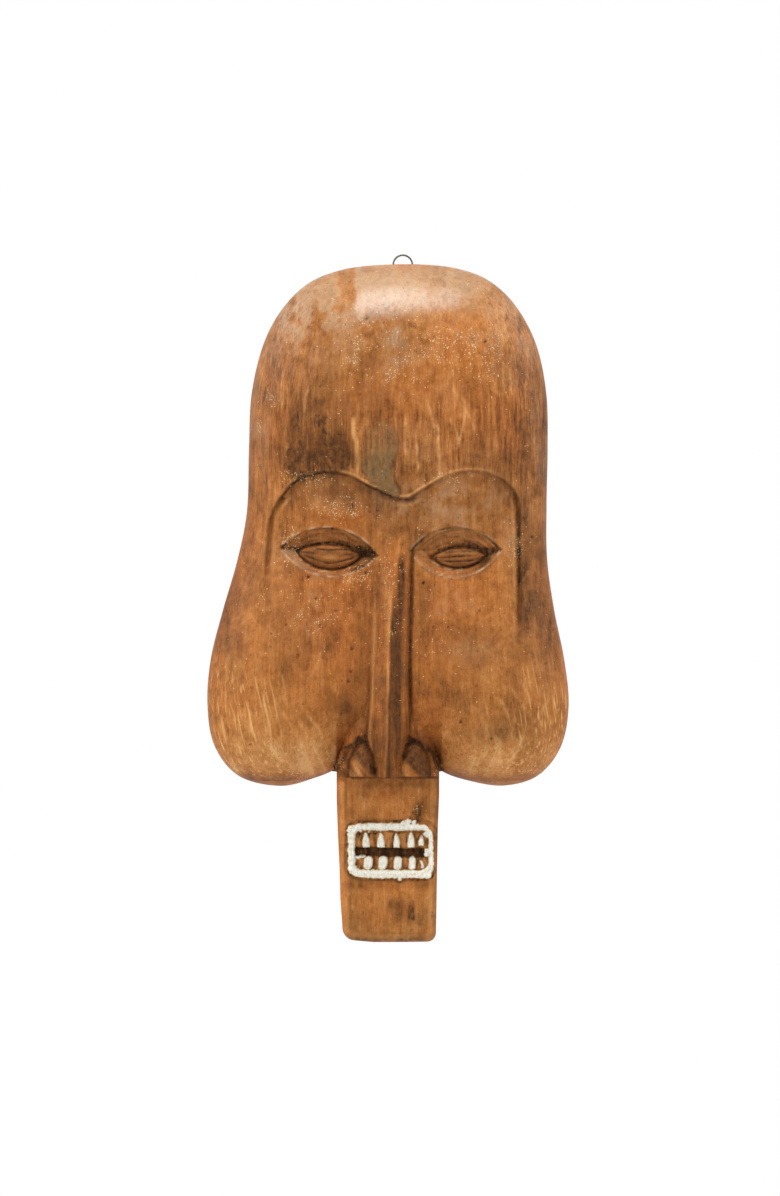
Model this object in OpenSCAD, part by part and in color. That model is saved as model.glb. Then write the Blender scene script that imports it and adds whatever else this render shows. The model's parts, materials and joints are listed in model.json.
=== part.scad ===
// Carved wooden wall mask: one carved block, white mouth paint and a small ring hanger.
// Carving frame: x = 0 on the nose line, z = 0 at the foot of the chin, y = 0 on the wall,
// and the face looks along -Y. The row frame is the same, moved so that its origin is the
// point on the wall behind the hook that carries the mask.

/* [Wood block] */
// Depth of the forehead and cheeks from the wall
face_depth = 60; // [52:1:70]
// Height of the straight side wall before the front starts to round over
side_wall = 12; // [8:1:16]
// Thickness of wood left between the face and the hollow back
shell_wall = 17; // [14:1:24]
// How far the brow panel and eyes are sunk below the forehead
brow_drop = 3; // [1:0.5:4]

/* [Chin] */
// Depth of the chin block from the wall
chin_depth = 50; // [42:1:54]
// How far the back of the chin block stands off the wall
chin_gap = 0.5; // [0.3:0.1:2]
// Half width of the chin block at its top
chin_half = 32.6; // [30:0.2:34]
// Narrowing of each side of the chin block from top to foot
chin_taper = 2; // [0:0.5:4]
// Radius of the chin block's upright edges
chin_edge = 3.2; // [2.5:0.1:6]

/* [Nose] */
// How far the tip of the nose stands in front of the cheeks
nose_rise = 15; // [8:1:20]
// Height of the flat cut under the nose
nose_foot = 108; // [104:1:112]

/* [Mouth] */
// Depth of the mouth panel below the chin's front
mouth_sink = 2.4; // [1.5:0.1:3]
// Depth of the slot between the teeth, below the mouth panel
slot_sink = 4; // [2:0.5:6]
// Thickness of the white paint bead round the mouth
paint_bead = 2; // [1:0.1:3]
// Width of the white paint bead
bead_w = 5; // [4:0.5:6]

/* [Hanger] */
// Radius of the ring's round top, to the middle of its wire
ring_r = 6.25; // [5:0.25:8]
// Radius of the ring's wire
wire_r = 0.6; // [0.5:0.05:0.8]
// Distance from the ring's straight bar up to the centre of its round top
ring_leg = 5; // [4:0.5:7]
// Width of the strap that holds the ring
strap_w = 7; // [6:0.5:8]
// Thickness of the strap's sheet metal
strap_t = 0.8; // [0.6:0.1:1]

/* [Hidden] */

$fn = 48;
wood = "peru";
white = "ivory";
steel = "silver";

block_top = 440;
behind = 3;      // how far cutting shapes run past the wall plane
spine_x = 3;     // the ribs of the head all meet on this upright line

// Ring hanger: its bar lies in the barrel of the strap, inside a recess in the back.
ring_x = 9;
ring_top_z = block_top;              // centre of the ring's round top
bar_z = ring_top_z - ring_leg;
barrel_play = 0.15;
barrel_in = wire_r + barrel_play;
barrel_out = barrel_in + strap_t;
recess_gap = 0.25;
bar_y = -(barrel_out + recess_gap);
recess_depth = 2 * barrel_out + recess_gap;
recess_w = 2 * (ring_r + wire_r) + 2;
recess_foot = 408;
strap_foot = 412;
screw_z = 419;
screw_r = 1.5;
screw_len = 14;
head_r = 2.9;
head_h = 1.3;
hang_z = ring_top_z + ring_r - wire_r;

// Outline of the head, from the crown down each side and under the cheeks to the nose:
// [x, z, z where its rib meets the spine, rim left round the hollow]
RIGHT = [
    [22, 439.6, 366, 37], [46, 436.6, 360, 36], [66, 428.5, 352, 32],
    [83, 412, 342, 26], [96, 387, 330, 20], [102.5, 355, 314, 16],
    [103.3, 320, 296, 15], [102.6, 282, 276, 15], [103, 248, 254, 15],
    [107.5, 215, 234, 15], [114, 183, 218, 16], [117, 153, 204, 18],
    [112, 126, 192, 22], [97, 107, 182, 28], [75, 100.4, 174, 34],
    [52, 103.6, 167, 42], [33.6, 110.5, 161, 42], [25, 121, 156, 32],
    [11, 129, 151, 20]
];
LEFT = [
    [-8, 439.2, 366, 37], [-32, 435.8, 360, 36], [-53, 427, 352, 32],
    [-70, 410, 342, 26], [-82, 387, 330, 20], [-89.5, 355, 314, 16],
    [-91.2, 320, 296, 15], [-92.4, 280, 276, 15], [-98.5, 248, 254, 15],
    [-108, 215, 234, 15], [-116, 183, 218, 16], [-118.2, 153, 204, 18],
    [-113.5, 126, 192, 22], [-97.5, 106.5, 182, 28], [-71, 100.2, 174, 34],
    [-49, 105.2, 167, 42], [-33.6, 112.5, 161, 42], [-23, 123, 156, 32],
    [-11, 130, 151, 20]
];
ROWS = len(RIGHT);
LOOP = concat(RIGHT, [for (i = [ROWS - 1:-1:0]) LEFT[i]]);
STEP = 4;                     // outline vertices per row, an even number
M = len(LOOP) * STEP;

// Catmull-Rom curve through a closed list of rows
function around(list, i) = list[(i + len(list)) % len(list)];
function curve(list, p) =
    let (i = floor(p), t = p - i, a = around(list, i - 1), b = around(list, i),
         c = around(list, i + 1), d = around(list, i + 2))
    0.5 * (2 * b + (c - a) * t + (2 * a - 5 * b + 4 * c - d) * t * t
           + (3 * b - a - 3 * c + d) * t * t * t);
OUTLINE = [for (i = [0:M - 1]) curve(LOOP, i / STEP - 0.5)];

// Depth of the carved front from the wall, rounding over towards the outline
function bump(v, centre, width) = exp(-pow((v - centre) / width, 2));
function fade(v, low, high) = let (t = max(0, min(1, (v - low) / (high - low)))) t * t * (3 - 2 * t);
function front(x, z) =
    face_depth + 3.5 * bump(z, 340, 60) + 2 * bump(z, 150, 45) - 7 * pow((x - spine_x) / 110, 2);
ROUNDING = [[98, 30], [126, 38], [153, 42], [183, 44], [320, 48], [355, 52], [387, 60], [412, 68], [440, 76]];
function rounding(x, z) = lookup(z, ROUNDING) * (1 - 0.65 * bump(x, 1, 30) * fade(z, 160, 125));
function to_edge(p, a, b) =
    let (u = b - a, t = max(0, min(1, ((p - a) * u) / (u * u)))) norm(p - a - t * u);
function inside(x, z) =
    min([for (i = [0:M - 1]) let (a = OUTLINE[i], b = OUTLINE[(i + 1) % M])
        to_edge([x, z], [a[0], a[1]], [b[0], b[1]])]);
function skin(x, z) =
    let (t = min(1, inside(x, z) / rounding(x, z)))
    side_wall + (front(x, z) - side_wall) * sqrt(1 - (1 - t) * (1 - t));

// A point d mm in from outline point o along its rib
function rib_len(o) = norm([spine_x - o[0], o[2] - o[1]]);
function rib_xz(o, d) =
    let (t = min(1, d / rib_len(o))) [o[0] + t * (spine_x - o[0]), o[1] + t * (o[2] - o[1])];

// Closed solid from rings that follow the outline points. The first ring is closed with a flat
// back and the last onto the spine, where the ribs of both sides share their points.
module ribbed(outline, rings, back_y, spine_drop) {
    m = len(outline);
    half = m / 2;
    n = len(rings);
    spine = function (i) i <= half ? i : m - i;
    back = n * m;
    top = back + half + 1;
    points = concat(
        [for (ring = rings) each ring],
        [for (i = [0:half]) [spine_x, back_y, outline[i][2]]],
        [for (i = [0:half]) [spine_x, spine_drop - front(spine_x, outline[i][2]), outline[i][2]]]
    );
    faces = concat(
        [for (j = [0:n - 2], i = [0:m - 1]) let (k = (i + 1) % m)
            each [[j * m + i, j * m + k, (j + 1) * m + k], [j * m + i, (j + 1) * m + k, (j + 1) * m + i]]],
        [for (i = [0:m - 1]) let (k = (i + 1) % m, a = (n - 1) * m)
            each [[a + i, a + k, top + spine(k)], [a + i, top + spine(k), top + spine(i)]]],
        [for (i = [0:m - 1]) let (k = (i + 1) % m)
            each [[k, i, back + spine(i)], [k, back + spine(i), back + spine(k)]]]
    );
    polyhedron(points, [for (f = faces) if (f[0] != f[1] && f[1] != f[2] && f[2] != f[0]) f], convexity = 8);
}

module head() difference() {
    turns = 7;
    ribbed(OUTLINE, concat(
        [[for (o = OUTLINE) [o[0], behind, o[1]]]],
        [for (j = [0:turns]) let (a = 90 * j / turns) [for (o = OUTLINE)
            let (p = rib_xz(o, min(0.9 * rib_len(o), rounding(o[0], o[1]) * (1 - cos(a)))))
            [p[0], -skin(p[0], p[1]), p[1]]]]
    ), behind, 0);
    translate([-150, 0, -5]) cube([300, 2 * behind, 460]);
}

module hollow() {
    turns = 5;
    lip = 5;
    outline = [for (i = [0:2:M - 1]) OUTLINE[i]];
    ribbed(outline, concat(
        [[for (o = outline) let (p = rib_xz(o, o[3])) [p[0], 2 * behind, p[1]]]],
        [for (j = [0:turns - 1]) let (a = 90 * j / turns) [for (o = outline)
            let (p = rib_xz(o, o[3] + (rib_len(o) - o[3]) * 0.8 * (1 - cos(a))))
            [p[0], -lip - (front(p[0], p[1]) - shell_wall - lip) * sin(a), p[1]]]]
    ), 2 * behind, shell_wall);
}

// The sunk panel under the two brow arches: its upper edge is a step, and its floor runs out
// to the cheeks further down
BROWS = [
    [9, 286.5], [21, 292], [34, 299.5], [46, 303.6], [59, 303.8], [72, 299.5], [81, 291],
    [85, 279], [86, 250], [86, 215], [82, 185], [60, 170], [30, 168], [0, 168], [-30, 168],
    [-60, 170], [-78, 185], [-82, 215], [-81, 250], [-78, 274], [-69, 288.5], [-58, 299.5],
    [-42, 303.6], [-26, 301.5], [-12, 294.5]
];
module brow_panel() {
    middle = [3, 232];
    scales = [1, 0.9, 0.76, 0.55, 0.3];
    edge = [for (i = [0:2 * len(BROWS) - 1]) curve(BROWS, i / 2)];
    k = len(edge);
    n = len(scales);
    floor_y = function (p) brow_drop - skin(p[0], p[1]) - (brow_drop + 2) * (1 - fade(p[1], 188, 240));
    rings = [for (s = scales) [for (p = edge) middle + s * (p - middle)]];
    points = concat(
        [for (p = edge) [p[0], -90, p[1]]],
        [for (ring = rings) each [for (p = ring) [p[0], floor_y(p), p[1]]]],
        [[middle[0], -90, middle[1]], [middle[0], floor_y(middle), middle[1]]]
    );
    last = len(points) - 1;
    polyhedron(points, concat(
        [for (j = [0:n - 1], i = [0:k - 1]) let (m = (i + 1) % k)
            each [[j * k + i, (j + 1) * k + m, j * k + m], [j * k + i, (j + 1) * k + i, (j + 1) * k + m]]],
        [for (i = [0:k - 1]) let (m = (i + 1) % k) each [[last - 1, i, m], [last, n * k + m, n * k + i]]]
    ), convexity = 6);
}

// Almond prism: two arcs that meet in corners, half width w, height up and down from its line
function arc_r(w, h) = (w * w + h * h) / (2 * h);
module almond(x, z, w, up, down, y0, y1) {
    ru = arc_r(w, up);
    rd = arc_r(w, down);
    intersection() {
        translate([x, y1, z + up - ru]) rotate([90, 0, 0]) cylinder(r = ru, h = y1 - y0, $fn = 96);
        translate([x, y1, z - down + rd]) rotate([90, 0, 0]) cylinder(r = rd, h = y1 - y0, $fn = 96);
    }
}
// [x, z, half width] of each eye
EYES = [[-39.5, 251, 31], [43, 252.5, 29]];
eye_sink = 5;
module eye_socket(e) almond(e[0], e[1], e[2], 14.5, 16, -90, -(front(e[0], e[1]) - brow_drop - eye_sink));
module eyeball(e) {
    y = -(front(e[0], e[1]) - brow_drop - 1.5);
    almond(e[0] + 1, e[1] - 2, e[2] * 0.62, 7.5, 7.5, y, y + 6);
}

// Nose: [z, left x, ridge x, right x, rise in front of the cheek]
NOSE = [
    [nose_foot, -8.7, -1.3, 6.6, 1], [120, -9.5, -1, 8, 0.94], [134, -13, -0.6, 11.8, 0.88],
    [160, -10.5, -0.3, 11.8, 0.74], [195, -10, 0.5, 12.3, 0.56], [225, -9.5, 2, 13, 0.38],
    [250, -7, 5.5, 13.5, 0.18], [266, -2, 8, 14, -1.5]
];
module nose() {
    root_y = -49;
    side_in = 2.5;   // how far the flanks stay inside the cheek surface
    n = len(NOSE);
    points = [for (s = NOSE) let (y = -front(s[2], s[0]), tip = y - (s[4] > 0 ? s[4] * nose_rise : s[4]))
        each [[s[1], root_y, s[0]], [s[1], y + side_in, s[0]], [s[2], tip, s[0]],
              [s[2] + 0.62 * (s[3] - s[2]), tip + 0.3 * (y - tip), s[0]],
              [s[3], y + side_in, s[0]], [s[3], root_y, s[0]]]];
    k = 6;
    polyhedron(points, concat(
        [[for (i = [0:k - 1]) i]], [[for (i = [k - 1:-1:0]) (n - 1) * k + i]],
        [for (j = [0:n - 2], i = [0:k - 1]) let (m = (i + 1) % k)
            each [[j * k + i, (j + 1) * k + i, (j + 1) * k + m], [j * k + i, (j + 1) * k + m, j * k + m]]]
    ));
}

// Nostril wings: round knobs on both sides of the nose's foot, cut flat underneath
module wing(x, r) {
    difference() {
        translate([x, -chin_depth + 1, nose_foot + 5]) sphere(r = r, $fn = 64);
        translate([x - 2 * r, -chin_depth - 2 * r, nose_foot - 2 * r]) cube([4 * r, 4 * r, 2 * r]);
    }
}

// Chin block: a bar with rounded front edges and a rounded foot
module chin_block() {
    top = 140;
    // [z, how far the section is drawn in]
    sections = [[0, 4], [1.2, 1.6], [4.5, 0], [top, 0]];
    arc = 5;
    function section(z, inset) =
        let (w = chin_half - chin_taper * (1 - z / top) - inset, d = chin_depth - inset, r = chin_edge)
        concat([[w - 0.6, -chin_gap], [-w - 0.6, -chin_gap]],
            [for (a = [0:90 / arc:90]) [-w - 0.6 + r - r * cos(a), -d + r - r * sin(a)]],
            [for (a = [90:-90 / arc:0]) [w - 0.6 - r + r * cos(a), -d + r - r * sin(a)]]);
    k = len(section(0, 0));
    n = len(sections);
    polyhedron(
        [for (s = sections) each [for (p = section(s[0], s[1])) [p[0], p[1], s[0]]]],
        concat([[for (i = [0:k - 1]) i]], [[for (i = [k - 1:-1:0]) (n - 1) * k + i]],
            [for (j = [0:n - 2], i = [0:k - 1]) let (m = (i + 1) % k)
                each [[j * k + i, (j + 1) * k + i, (j + 1) * k + m], [j * k + i, (j + 1) * k + m, j * k + m]]])
    );
}

// Bar along Y with rounded corners
module round_bar(x0, x1, z0, z1, r, y0, y1) {
    translate([x0 + r, y0, z0]) cube([x1 - x0 - 2 * r, y1 - y0, z1 - z0]);
    translate([x0, y0, z0 + r]) cube([x1 - x0, y1 - y0, z1 - z0 - 2 * r]);
    for (x = [x0 + r, x1 - r], z = [z0 + r, z1 - r])
        translate([x, y1, z]) rotate([90, 0, 0]) cylinder(r = r, h = y1 - y0);
}

mouth_x0 = -27;
mouth_x1 = 28.5;
mouth_z0 = 42;
mouth_z1 = 77.5;
slot_z0 = 56;
slot_z1 = 62;
mouth_floor = -chin_depth + mouth_sink;
module mouth_opening(y0, y1)
    round_bar(mouth_x0 + bead_w, mouth_x1 - bead_w, mouth_z0 + bead_w, mouth_z1 - bead_w, 1.2, y0, y1);
module mouth_cut() {
    mouth_opening(-chin_depth - 5, mouth_floor);
    translate([-21, -chin_depth - 5, slot_z0])
        cube([43, 5 + mouth_sink + slot_sink, slot_z1 - slot_z0]);
}

module hanger_recess() {
    translate([ring_x - recess_w / 2, -recess_depth, recess_foot])
        cube([recess_w, recess_depth + behind, block_top + 10 - recess_foot]);
}
module pilot_hole() {
    translate([ring_x, behind, screw_z]) rotate([90, 0, 0])
        cylinder(r = screw_r, h = behind + recess_depth + screw_len - head_h);
}

module mask_body() color(wood) difference() {
    union() {
        difference() {
            head();
            translate([2, 0, 1.5]) hollow();
            brow_panel();
            for (e = EYES) eye_socket(e);
        }
        for (e = EYES) eyeball(e);
        chin_block();
        nose();
        wing(-17, 13.5);
        wing(14.5, 13.5);
    }
    mouth_cut();
    hanger_recess();
    pilot_hole();
}

module lip_paint() color(white) difference() {
    round_bar(mouth_x0, mouth_x1, mouth_z0, mouth_z1, 8, -chin_depth - paint_bead, -chin_depth);
    mouth_opening(-chin_depth - 9, -chin_depth + 9);
}

// [x, width] of each tooth
UPPER = [[-14.5, 5.6], [-5, 5.8], [5.2, 4.8], [14.6, 5.6], [20.6, 4.4]];
LOWER = [[-13.5, 6], [-4.2, 5.8], [5.4, 5.6], [14.6, 5.2], [20.4, 3.4]];
tooth_t = 2;
module upper_tooth(i) color(white) {
    // pointed arch: the overlap of two round discs, cut level at the slot
    tip = mouth_z1 - bead_w - 1.5;
    h = tip - slot_z1;
    w = UPPER[i][1] / 2;
    r = arc_r(h, w);
    intersection() {
        intersection_for (side = [-1, 1])
            translate([UPPER[i][0] + side * (r - w), mouth_floor, slot_z1])
                rotate([90, 0, 0]) cylinder(r = r, h = tooth_t, $fn = 96);
        translate([UPPER[i][0] - 9, mouth_floor - tooth_t, slot_z1]) cube([18, tooth_t, h + 2]);
    }
}
module lower_tooth(i) color(white) {
    foot = mouth_z0 + bead_w;
    r = LOWER[i][1] / 2;
    translate([LOWER[i][0] - r, mouth_floor - tooth_t, foot]) cube([2 * r, tooth_t, slot_z0 - foot - r]);
    translate([LOWER[i][0], mouth_floor, slot_z0 - r]) rotate([90, 0, 0]) cylinder(r = r, h = tooth_t);
}

// D-shaped wire ring, upright, with its bar along X
module hanger_ring() color(steel) translate([ring_x, bar_y, 0]) {
    corner = 1.4;
    translate([0, 0, ring_top_z]) rotate([90, 0, 0]) rotate_extrude(angle = 180)
        translate([ring_r, 0]) circle(r = wire_r);
    for (side = [-1, 1]) {
        translate([side * ring_r, 0, bar_z + corner]) cylinder(r = wire_r, h = ring_leg - corner);
        translate([side * (ring_r - corner), 0, bar_z + corner]) rotate([90, 0, 0])
            rotate([0, 0, side > 0 ? 270 : 180]) rotate_extrude(angle = 90)
                translate([corner, 0]) circle(r = wire_r);
    }
    translate([-(ring_r - corner), 0, bar_z]) rotate([0, 90, 0])
        cylinder(r = wire_r, h = 2 * (ring_r - corner));
}

// Strap: a barrel rolled round the ring's bar, and a plate with one screw hole
module hanger_strap() color(steel) translate([ring_x, 0, 0]) difference() {
    union() {
        translate([-strap_w / 2, bar_y, bar_z]) rotate([0, 90, 0]) cylinder(r = barrel_out, h = strap_w);
        translate([-strap_w / 2, -recess_depth, strap_foot + strap_w / 2])
            cube([strap_w, strap_t, bar_z - strap_foot - strap_w / 2]);
        translate([0, -recess_depth + strap_t, strap_foot + strap_w / 2]) rotate([90, 0, 0])
            cylinder(r = strap_w / 2, h = strap_t);
    }
    translate([-strap_w, bar_y, bar_z]) rotate([0, 90, 0]) cylinder(r = barrel_in, h = 2 * strap_w);
    translate([0, behind, screw_z]) rotate([90, 0, 0]) cylinder(r = screw_r + 0.2, h = 20);
}

// Round-head wood screw with one slot and a tapered point
module hanger_screw() color(steel) translate([ring_x, -recess_depth + strap_t, screw_z]) {
    shank = screw_len - 4;
    difference() {
        intersection() {
            rotate([-90, 0, 0]) cylinder(r = head_r, h = head_h);
            translate([0, head_h - 4.2, 0]) sphere(r = 4.2);
        }
        translate([-head_r, head_h - 0.6, -0.4]) cube([2 * head_r, 2, 0.8]);
    }
    rotate([90, 0, 0]) cylinder(r = screw_r, h = shank);
    translate([0, -shank, 0]) rotate([90, 0, 0]) cylinder(r1 = screw_r, r2 = 0.2, h = 3);
}

module row() translate([-ring_x, 0, -hang_z]) children();

row() mask_body();
row() lip_paint();
for (i = [0:4]) {
    row() upper_tooth(i);
    row() lower_tooth(i);
}
row() hanger_strap();
row() hanger_ring();
row() hanger_screw();
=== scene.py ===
import json
import math

import bpy
import numpy as np
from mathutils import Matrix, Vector

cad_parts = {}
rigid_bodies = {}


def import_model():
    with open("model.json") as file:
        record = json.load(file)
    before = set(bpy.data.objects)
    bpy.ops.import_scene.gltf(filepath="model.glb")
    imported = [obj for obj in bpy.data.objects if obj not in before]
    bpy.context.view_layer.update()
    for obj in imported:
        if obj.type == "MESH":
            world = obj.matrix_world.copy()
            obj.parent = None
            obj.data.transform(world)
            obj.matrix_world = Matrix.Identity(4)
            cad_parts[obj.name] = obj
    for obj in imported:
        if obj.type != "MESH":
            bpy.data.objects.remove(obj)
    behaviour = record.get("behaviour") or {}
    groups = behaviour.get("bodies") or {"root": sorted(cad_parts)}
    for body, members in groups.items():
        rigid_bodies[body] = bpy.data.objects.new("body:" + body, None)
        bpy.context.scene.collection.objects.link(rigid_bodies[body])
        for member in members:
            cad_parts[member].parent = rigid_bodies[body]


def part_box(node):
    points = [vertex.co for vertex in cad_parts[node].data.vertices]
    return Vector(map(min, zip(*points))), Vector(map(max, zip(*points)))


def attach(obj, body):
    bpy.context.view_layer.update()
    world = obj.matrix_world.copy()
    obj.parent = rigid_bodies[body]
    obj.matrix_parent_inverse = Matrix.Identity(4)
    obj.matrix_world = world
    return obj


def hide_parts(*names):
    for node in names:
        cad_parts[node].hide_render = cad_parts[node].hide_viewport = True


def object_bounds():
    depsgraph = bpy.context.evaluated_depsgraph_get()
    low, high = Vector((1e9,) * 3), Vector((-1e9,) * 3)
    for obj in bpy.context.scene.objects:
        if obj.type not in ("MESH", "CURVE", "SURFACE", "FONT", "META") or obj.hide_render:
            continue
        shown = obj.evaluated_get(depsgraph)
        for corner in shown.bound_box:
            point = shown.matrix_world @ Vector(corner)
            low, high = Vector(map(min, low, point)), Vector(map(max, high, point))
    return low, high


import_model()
cad_lo, cad_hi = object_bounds()

# ---- frame
# Shapes are worked out in millimetres in the carving frame of the CAD part: x = 0 on the nose
# line, z = 0 at the foot of the chin, y = 0 on the wall. to_row turns that into the row frame.
body_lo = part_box("mask_body")[0]
ring_lo, ring_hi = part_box("hanger_ring")
RING_X = 9.0
SHIFT = Vector(((ring_lo[0] + ring_hi[0]) / 2 - RING_X / 1000, 0, body_lo[2]))


def to_row(points):
    """Carving frame in millimetres to the row frame in metres."""
    return np.asarray(points, float) / 1000 + np.array(SHIFT)


# ---- small tools
def fade(v, low, high):
    """0 below low, 1 above high, and smooth between."""
    t = np.clip((v - low) / (high - low), 0, 1)
    return t * t * (3 - 2 * t)


def bump(v, centre, width):
    """1 at the centre, falling to nothing on both sides."""
    return np.exp(-(((v - centre) / width) ** 2))


def spot(x, z, cx, cz, wx, wz):
    return bump(x, cx, wx) * bump(z, cz, wz)


def add_up(x, z, spots, ragged=1.0):
    """Sum of soft spots given as (amount, x, z, width, height)."""
    return ragged * sum(amount * spot(x, z, *place) for amount, *place in spots)


def lookup(v, table):
    t = np.array(sorted(table), float)
    return np.interp(v, t[:, 0], t[:, 1])


def hash01(i, j, seed):
    """A fixed number from 0 to 1 for each cell of an endless grid."""
    bits = 0xFFFFFFFF
    n = i.astype(np.int64) * 374761393 + j.astype(np.int64) * 668265263 + seed * 1442695041
    n = n & bits
    n = ((n ^ (n >> 13)) * 1274126177) & bits
    n = n ^ (n >> 16)
    return (n & 0xFFFFFF) / float(0xFFFFFF)


def noise(x, z, sx, sz, seed):
    """Smooth value noise from -1 to 1 with cells of sx by sz millimetres."""
    u, v = x / sx, z / sz
    i, j = np.floor(u), np.floor(v)
    fu, fv = u - i, v - j
    fu, fv = fu * fu * (3 - 2 * fu), fv * fv * (3 - 2 * fv)
    a, b = hash01(i, j, seed), hash01(i + 1, j, seed)
    c, d = hash01(i, j + 1, seed), hash01(i + 1, j + 1, seed)
    return 2 * ((a * (1 - fu) + b * fu) * (1 - fv) + (c * (1 - fu) + d * fu) * fv) - 1


def patchy(x, z, sx, sz, seed, low, high):
    """Noise turned into a share: 0 below low, 1 above high."""
    return fade(noise(x, z, sx, sz, seed), low, high)


def fbm(x, z, sx, sz, seed, octaves=4):
    """Noise with finer and weaker noise added on top."""
    total, size, norm = 0, 1.0, 0
    for k in range(octaves):
        total = total + size * noise(x, z, sx / 2**k, sz / 2**k, seed + 17 * k)
        norm += size
        size *= 0.55
    return total / norm


def closed_curve(rows, steps, start=0.0):
    """Catmull-Rom curve through a closed list of rows."""
    rows = np.array(rows, float)
    n = len(rows)
    p = start + np.arange(n * steps) / steps
    i = np.floor(p).astype(int)
    t = (p - i)[:, None]
    a, b, c, d = (rows[(i + k) % n] for k in (-1, 0, 1, 2))
    bend = 2 * a - 5 * b + 4 * c - d
    twist = 3 * b - a - 3 * c + d
    return 0.5 * (2 * b + (c - a) * t + bend * t**2 + twist * t**3)


def arc(cx, cz, radius, start, end, steps):
    """Points of an arc from start to end in degrees, without its first point."""
    a = np.radians(np.linspace(start, end, steps + 1)[1:])
    return np.stack([cx + radius * np.cos(a), cz + radius * np.sin(a)], 1)


def distance(x, z, line):
    """Distance to a closed outline, positive inside and negative outside."""
    a = np.asarray(line)[:, :2]
    b = np.roll(a, -1, axis=0)
    u = b - a
    uu = (u**2).sum(1)
    fall = np.where(u[:, 1] == 0, 1e-9, u[:, 1])
    px, pz = x.ravel()[:, None], z.ravel()[:, None]
    out = np.empty(px.size)
    chunk = 6000
    for s in range(0, px.size, chunk):
        e = slice(s, s + chunk)
        dx, dz = px[e] - a[:, 0], pz[e] - a[:, 1]
        t = np.clip((dx * u[:, 0] + dz * u[:, 1]) / uu, 0, 1)
        d = np.sqrt(((dx - t * u[:, 0]) ** 2 + (dz - t * u[:, 1]) ** 2).min(1))
        spans = (pz[e] < a[:, 1]) != (pz[e] < b[:, 1])
        hits = (spans & (px[e] < a[:, 0] + dz * u[:, 0] / fall)).sum(1)
        out[e] = np.where(hits % 2 == 1, d, -d)
    return out.reshape(x.shape)


def rect_distance(x, z, x0, x1, z0, z1, r):
    """Distance to a rectangle with corners of radius r, positive inside."""
    dx = np.maximum(x0 + r - x, x - (x1 - r))
    dz = np.maximum(z0 + r - z, z - (z1 - r))
    out = np.hypot(np.maximum(dx, 0), np.maximum(dz, 0)) + np.minimum(np.maximum(dx, dz), 0)
    return r - out


# ---- meshes
def make_mesh(name, verts, faces, smooth=True):
    mesh = bpy.data.meshes.new(name)
    mesh.from_pydata([tuple(v) for v in verts], [], [tuple(int(i) for i in f) for f in faces])
    mesh.validate()
    if smooth:
        mesh.polygons.foreach_set("use_smooth", [True] * len(mesh.polygons))
    obj = bpy.data.objects.new(name, mesh)
    bpy.context.scene.collection.objects.link(obj)
    return obj


def add_attribute(obj, name, values):
    """Stores one value on each point, for the material to read."""
    attr = obj.data.attributes.new(name, "FLOAT", "POINT")
    attr.data.foreach_set("value", np.asarray(values, np.float32))


def grid_lines(*spans):
    """Grid lines from (start, end, step) spans that follow one another."""
    out = [np.array([spans[0][0]], float)]
    for a, b, h in spans:
        n = max(1, round((b - a) / h))
        out.append(np.linspace(a, b, n + 1)[1:])
    return np.concatenate(out)


def kept_cells(ok):
    """Cells of a grid whose four corners are all wanted."""
    return ok[:-1, :-1] & ok[1:, :-1] & ok[:-1, 1:] & ok[1:, 1:]


def rim_of(cells, shape):
    """The points on the edge of the kept cells, and all the points that they use."""
    around = np.zeros(shape, int)
    for a in (slice(0, -1), slice(1, None)):
        for b in (slice(0, -1), slice(1, None)):
            around[a, b] += cells
    return (around > 0) & (around < 4), around > 0


def snapped(x, z, field, moved):
    """Moves the marked points onto the zero line of a field of x and z."""
    px, pz = x[moved], z[moved]
    e = 0.05
    for _ in range(2):
        d = field(px, pz)
        gx = (field(px + e, pz) - d) / e
        gz = (field(px, pz + e) - d) / e
        g2 = np.maximum(gx * gx + gz * gz, 0.3)
        px, pz = px - d * gx / g2, pz - d * gz / g2
    x, z = x.copy(), z.copy()
    x[moved], z[moved] = px, pz
    return x, z


def trimmed(xs, zs, field, margin):
    """A grid cut to a field's zero line: its points, kept cells, points on the edge, points in use."""
    x, z = np.meshgrid(xs, zs)
    cells = kept_cells(field(x, z) > margin)
    rim, used = rim_of(cells, x.shape)
    x, z = snapped(x, z, field, rim)
    return x, z, cells, rim, used


def numbered(used, first=0):
    """The number of each used point of a grid, counted from first."""
    index = np.full(used.shape, -1)
    index[used] = np.arange(used.sum()) + first
    return index


def quads(cells, index, flip):
    """One face for each kept cell of a grid."""
    i, j = np.nonzero(cells)
    a, b, c, d = index[i, j], index[i, j + 1], index[i + 1, j + 1], index[i + 1, j]
    return np.stack([a, d, c, b] if flip else [a, b, c, d], 1)


def single_edges(faces):
    """Directed edges that only one face uses."""
    e = np.concatenate([faces[:, [k, (k + 1) % 4]] for k in range(4)])
    key = np.sort(e, 1)
    _, inv, count = np.unique(key[:, 0] * 10_000_000 + key[:, 1], return_inverse=True, return_counts=True)
    return e[count[inv] == 1]


def strip_faces(rows, cols, wrap=False, flip=False):
    """Quads between rows of points; wrap joins the last point of a row to its first."""
    faces = []
    for i in range(rows - 1):
        for j in range(cols if wrap else cols - 1):
            m = (j + 1) % cols
            f = (i * cols + j, i * cols + m, (i + 1) * cols + m, (i + 1) * cols + j)
            faces.append(f[::-1] if flip else f)
    return np.array(faces)


def shell(name, upper, lower, faces):
    """A closed piece between two sheets of points that have the same faces."""
    n = len(upper)
    e = single_edges(faces)
    under_faces = faces[:, [0, 3, 2, 1]] + n
    side = np.stack([e[:, 1], e[:, 0], e[:, 0] + n, e[:, 1] + n], 1)
    points = to_row(np.concatenate([upper, lower]))
    return make_mesh(name, points, np.concatenate([faces, under_faces, side]))


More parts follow.
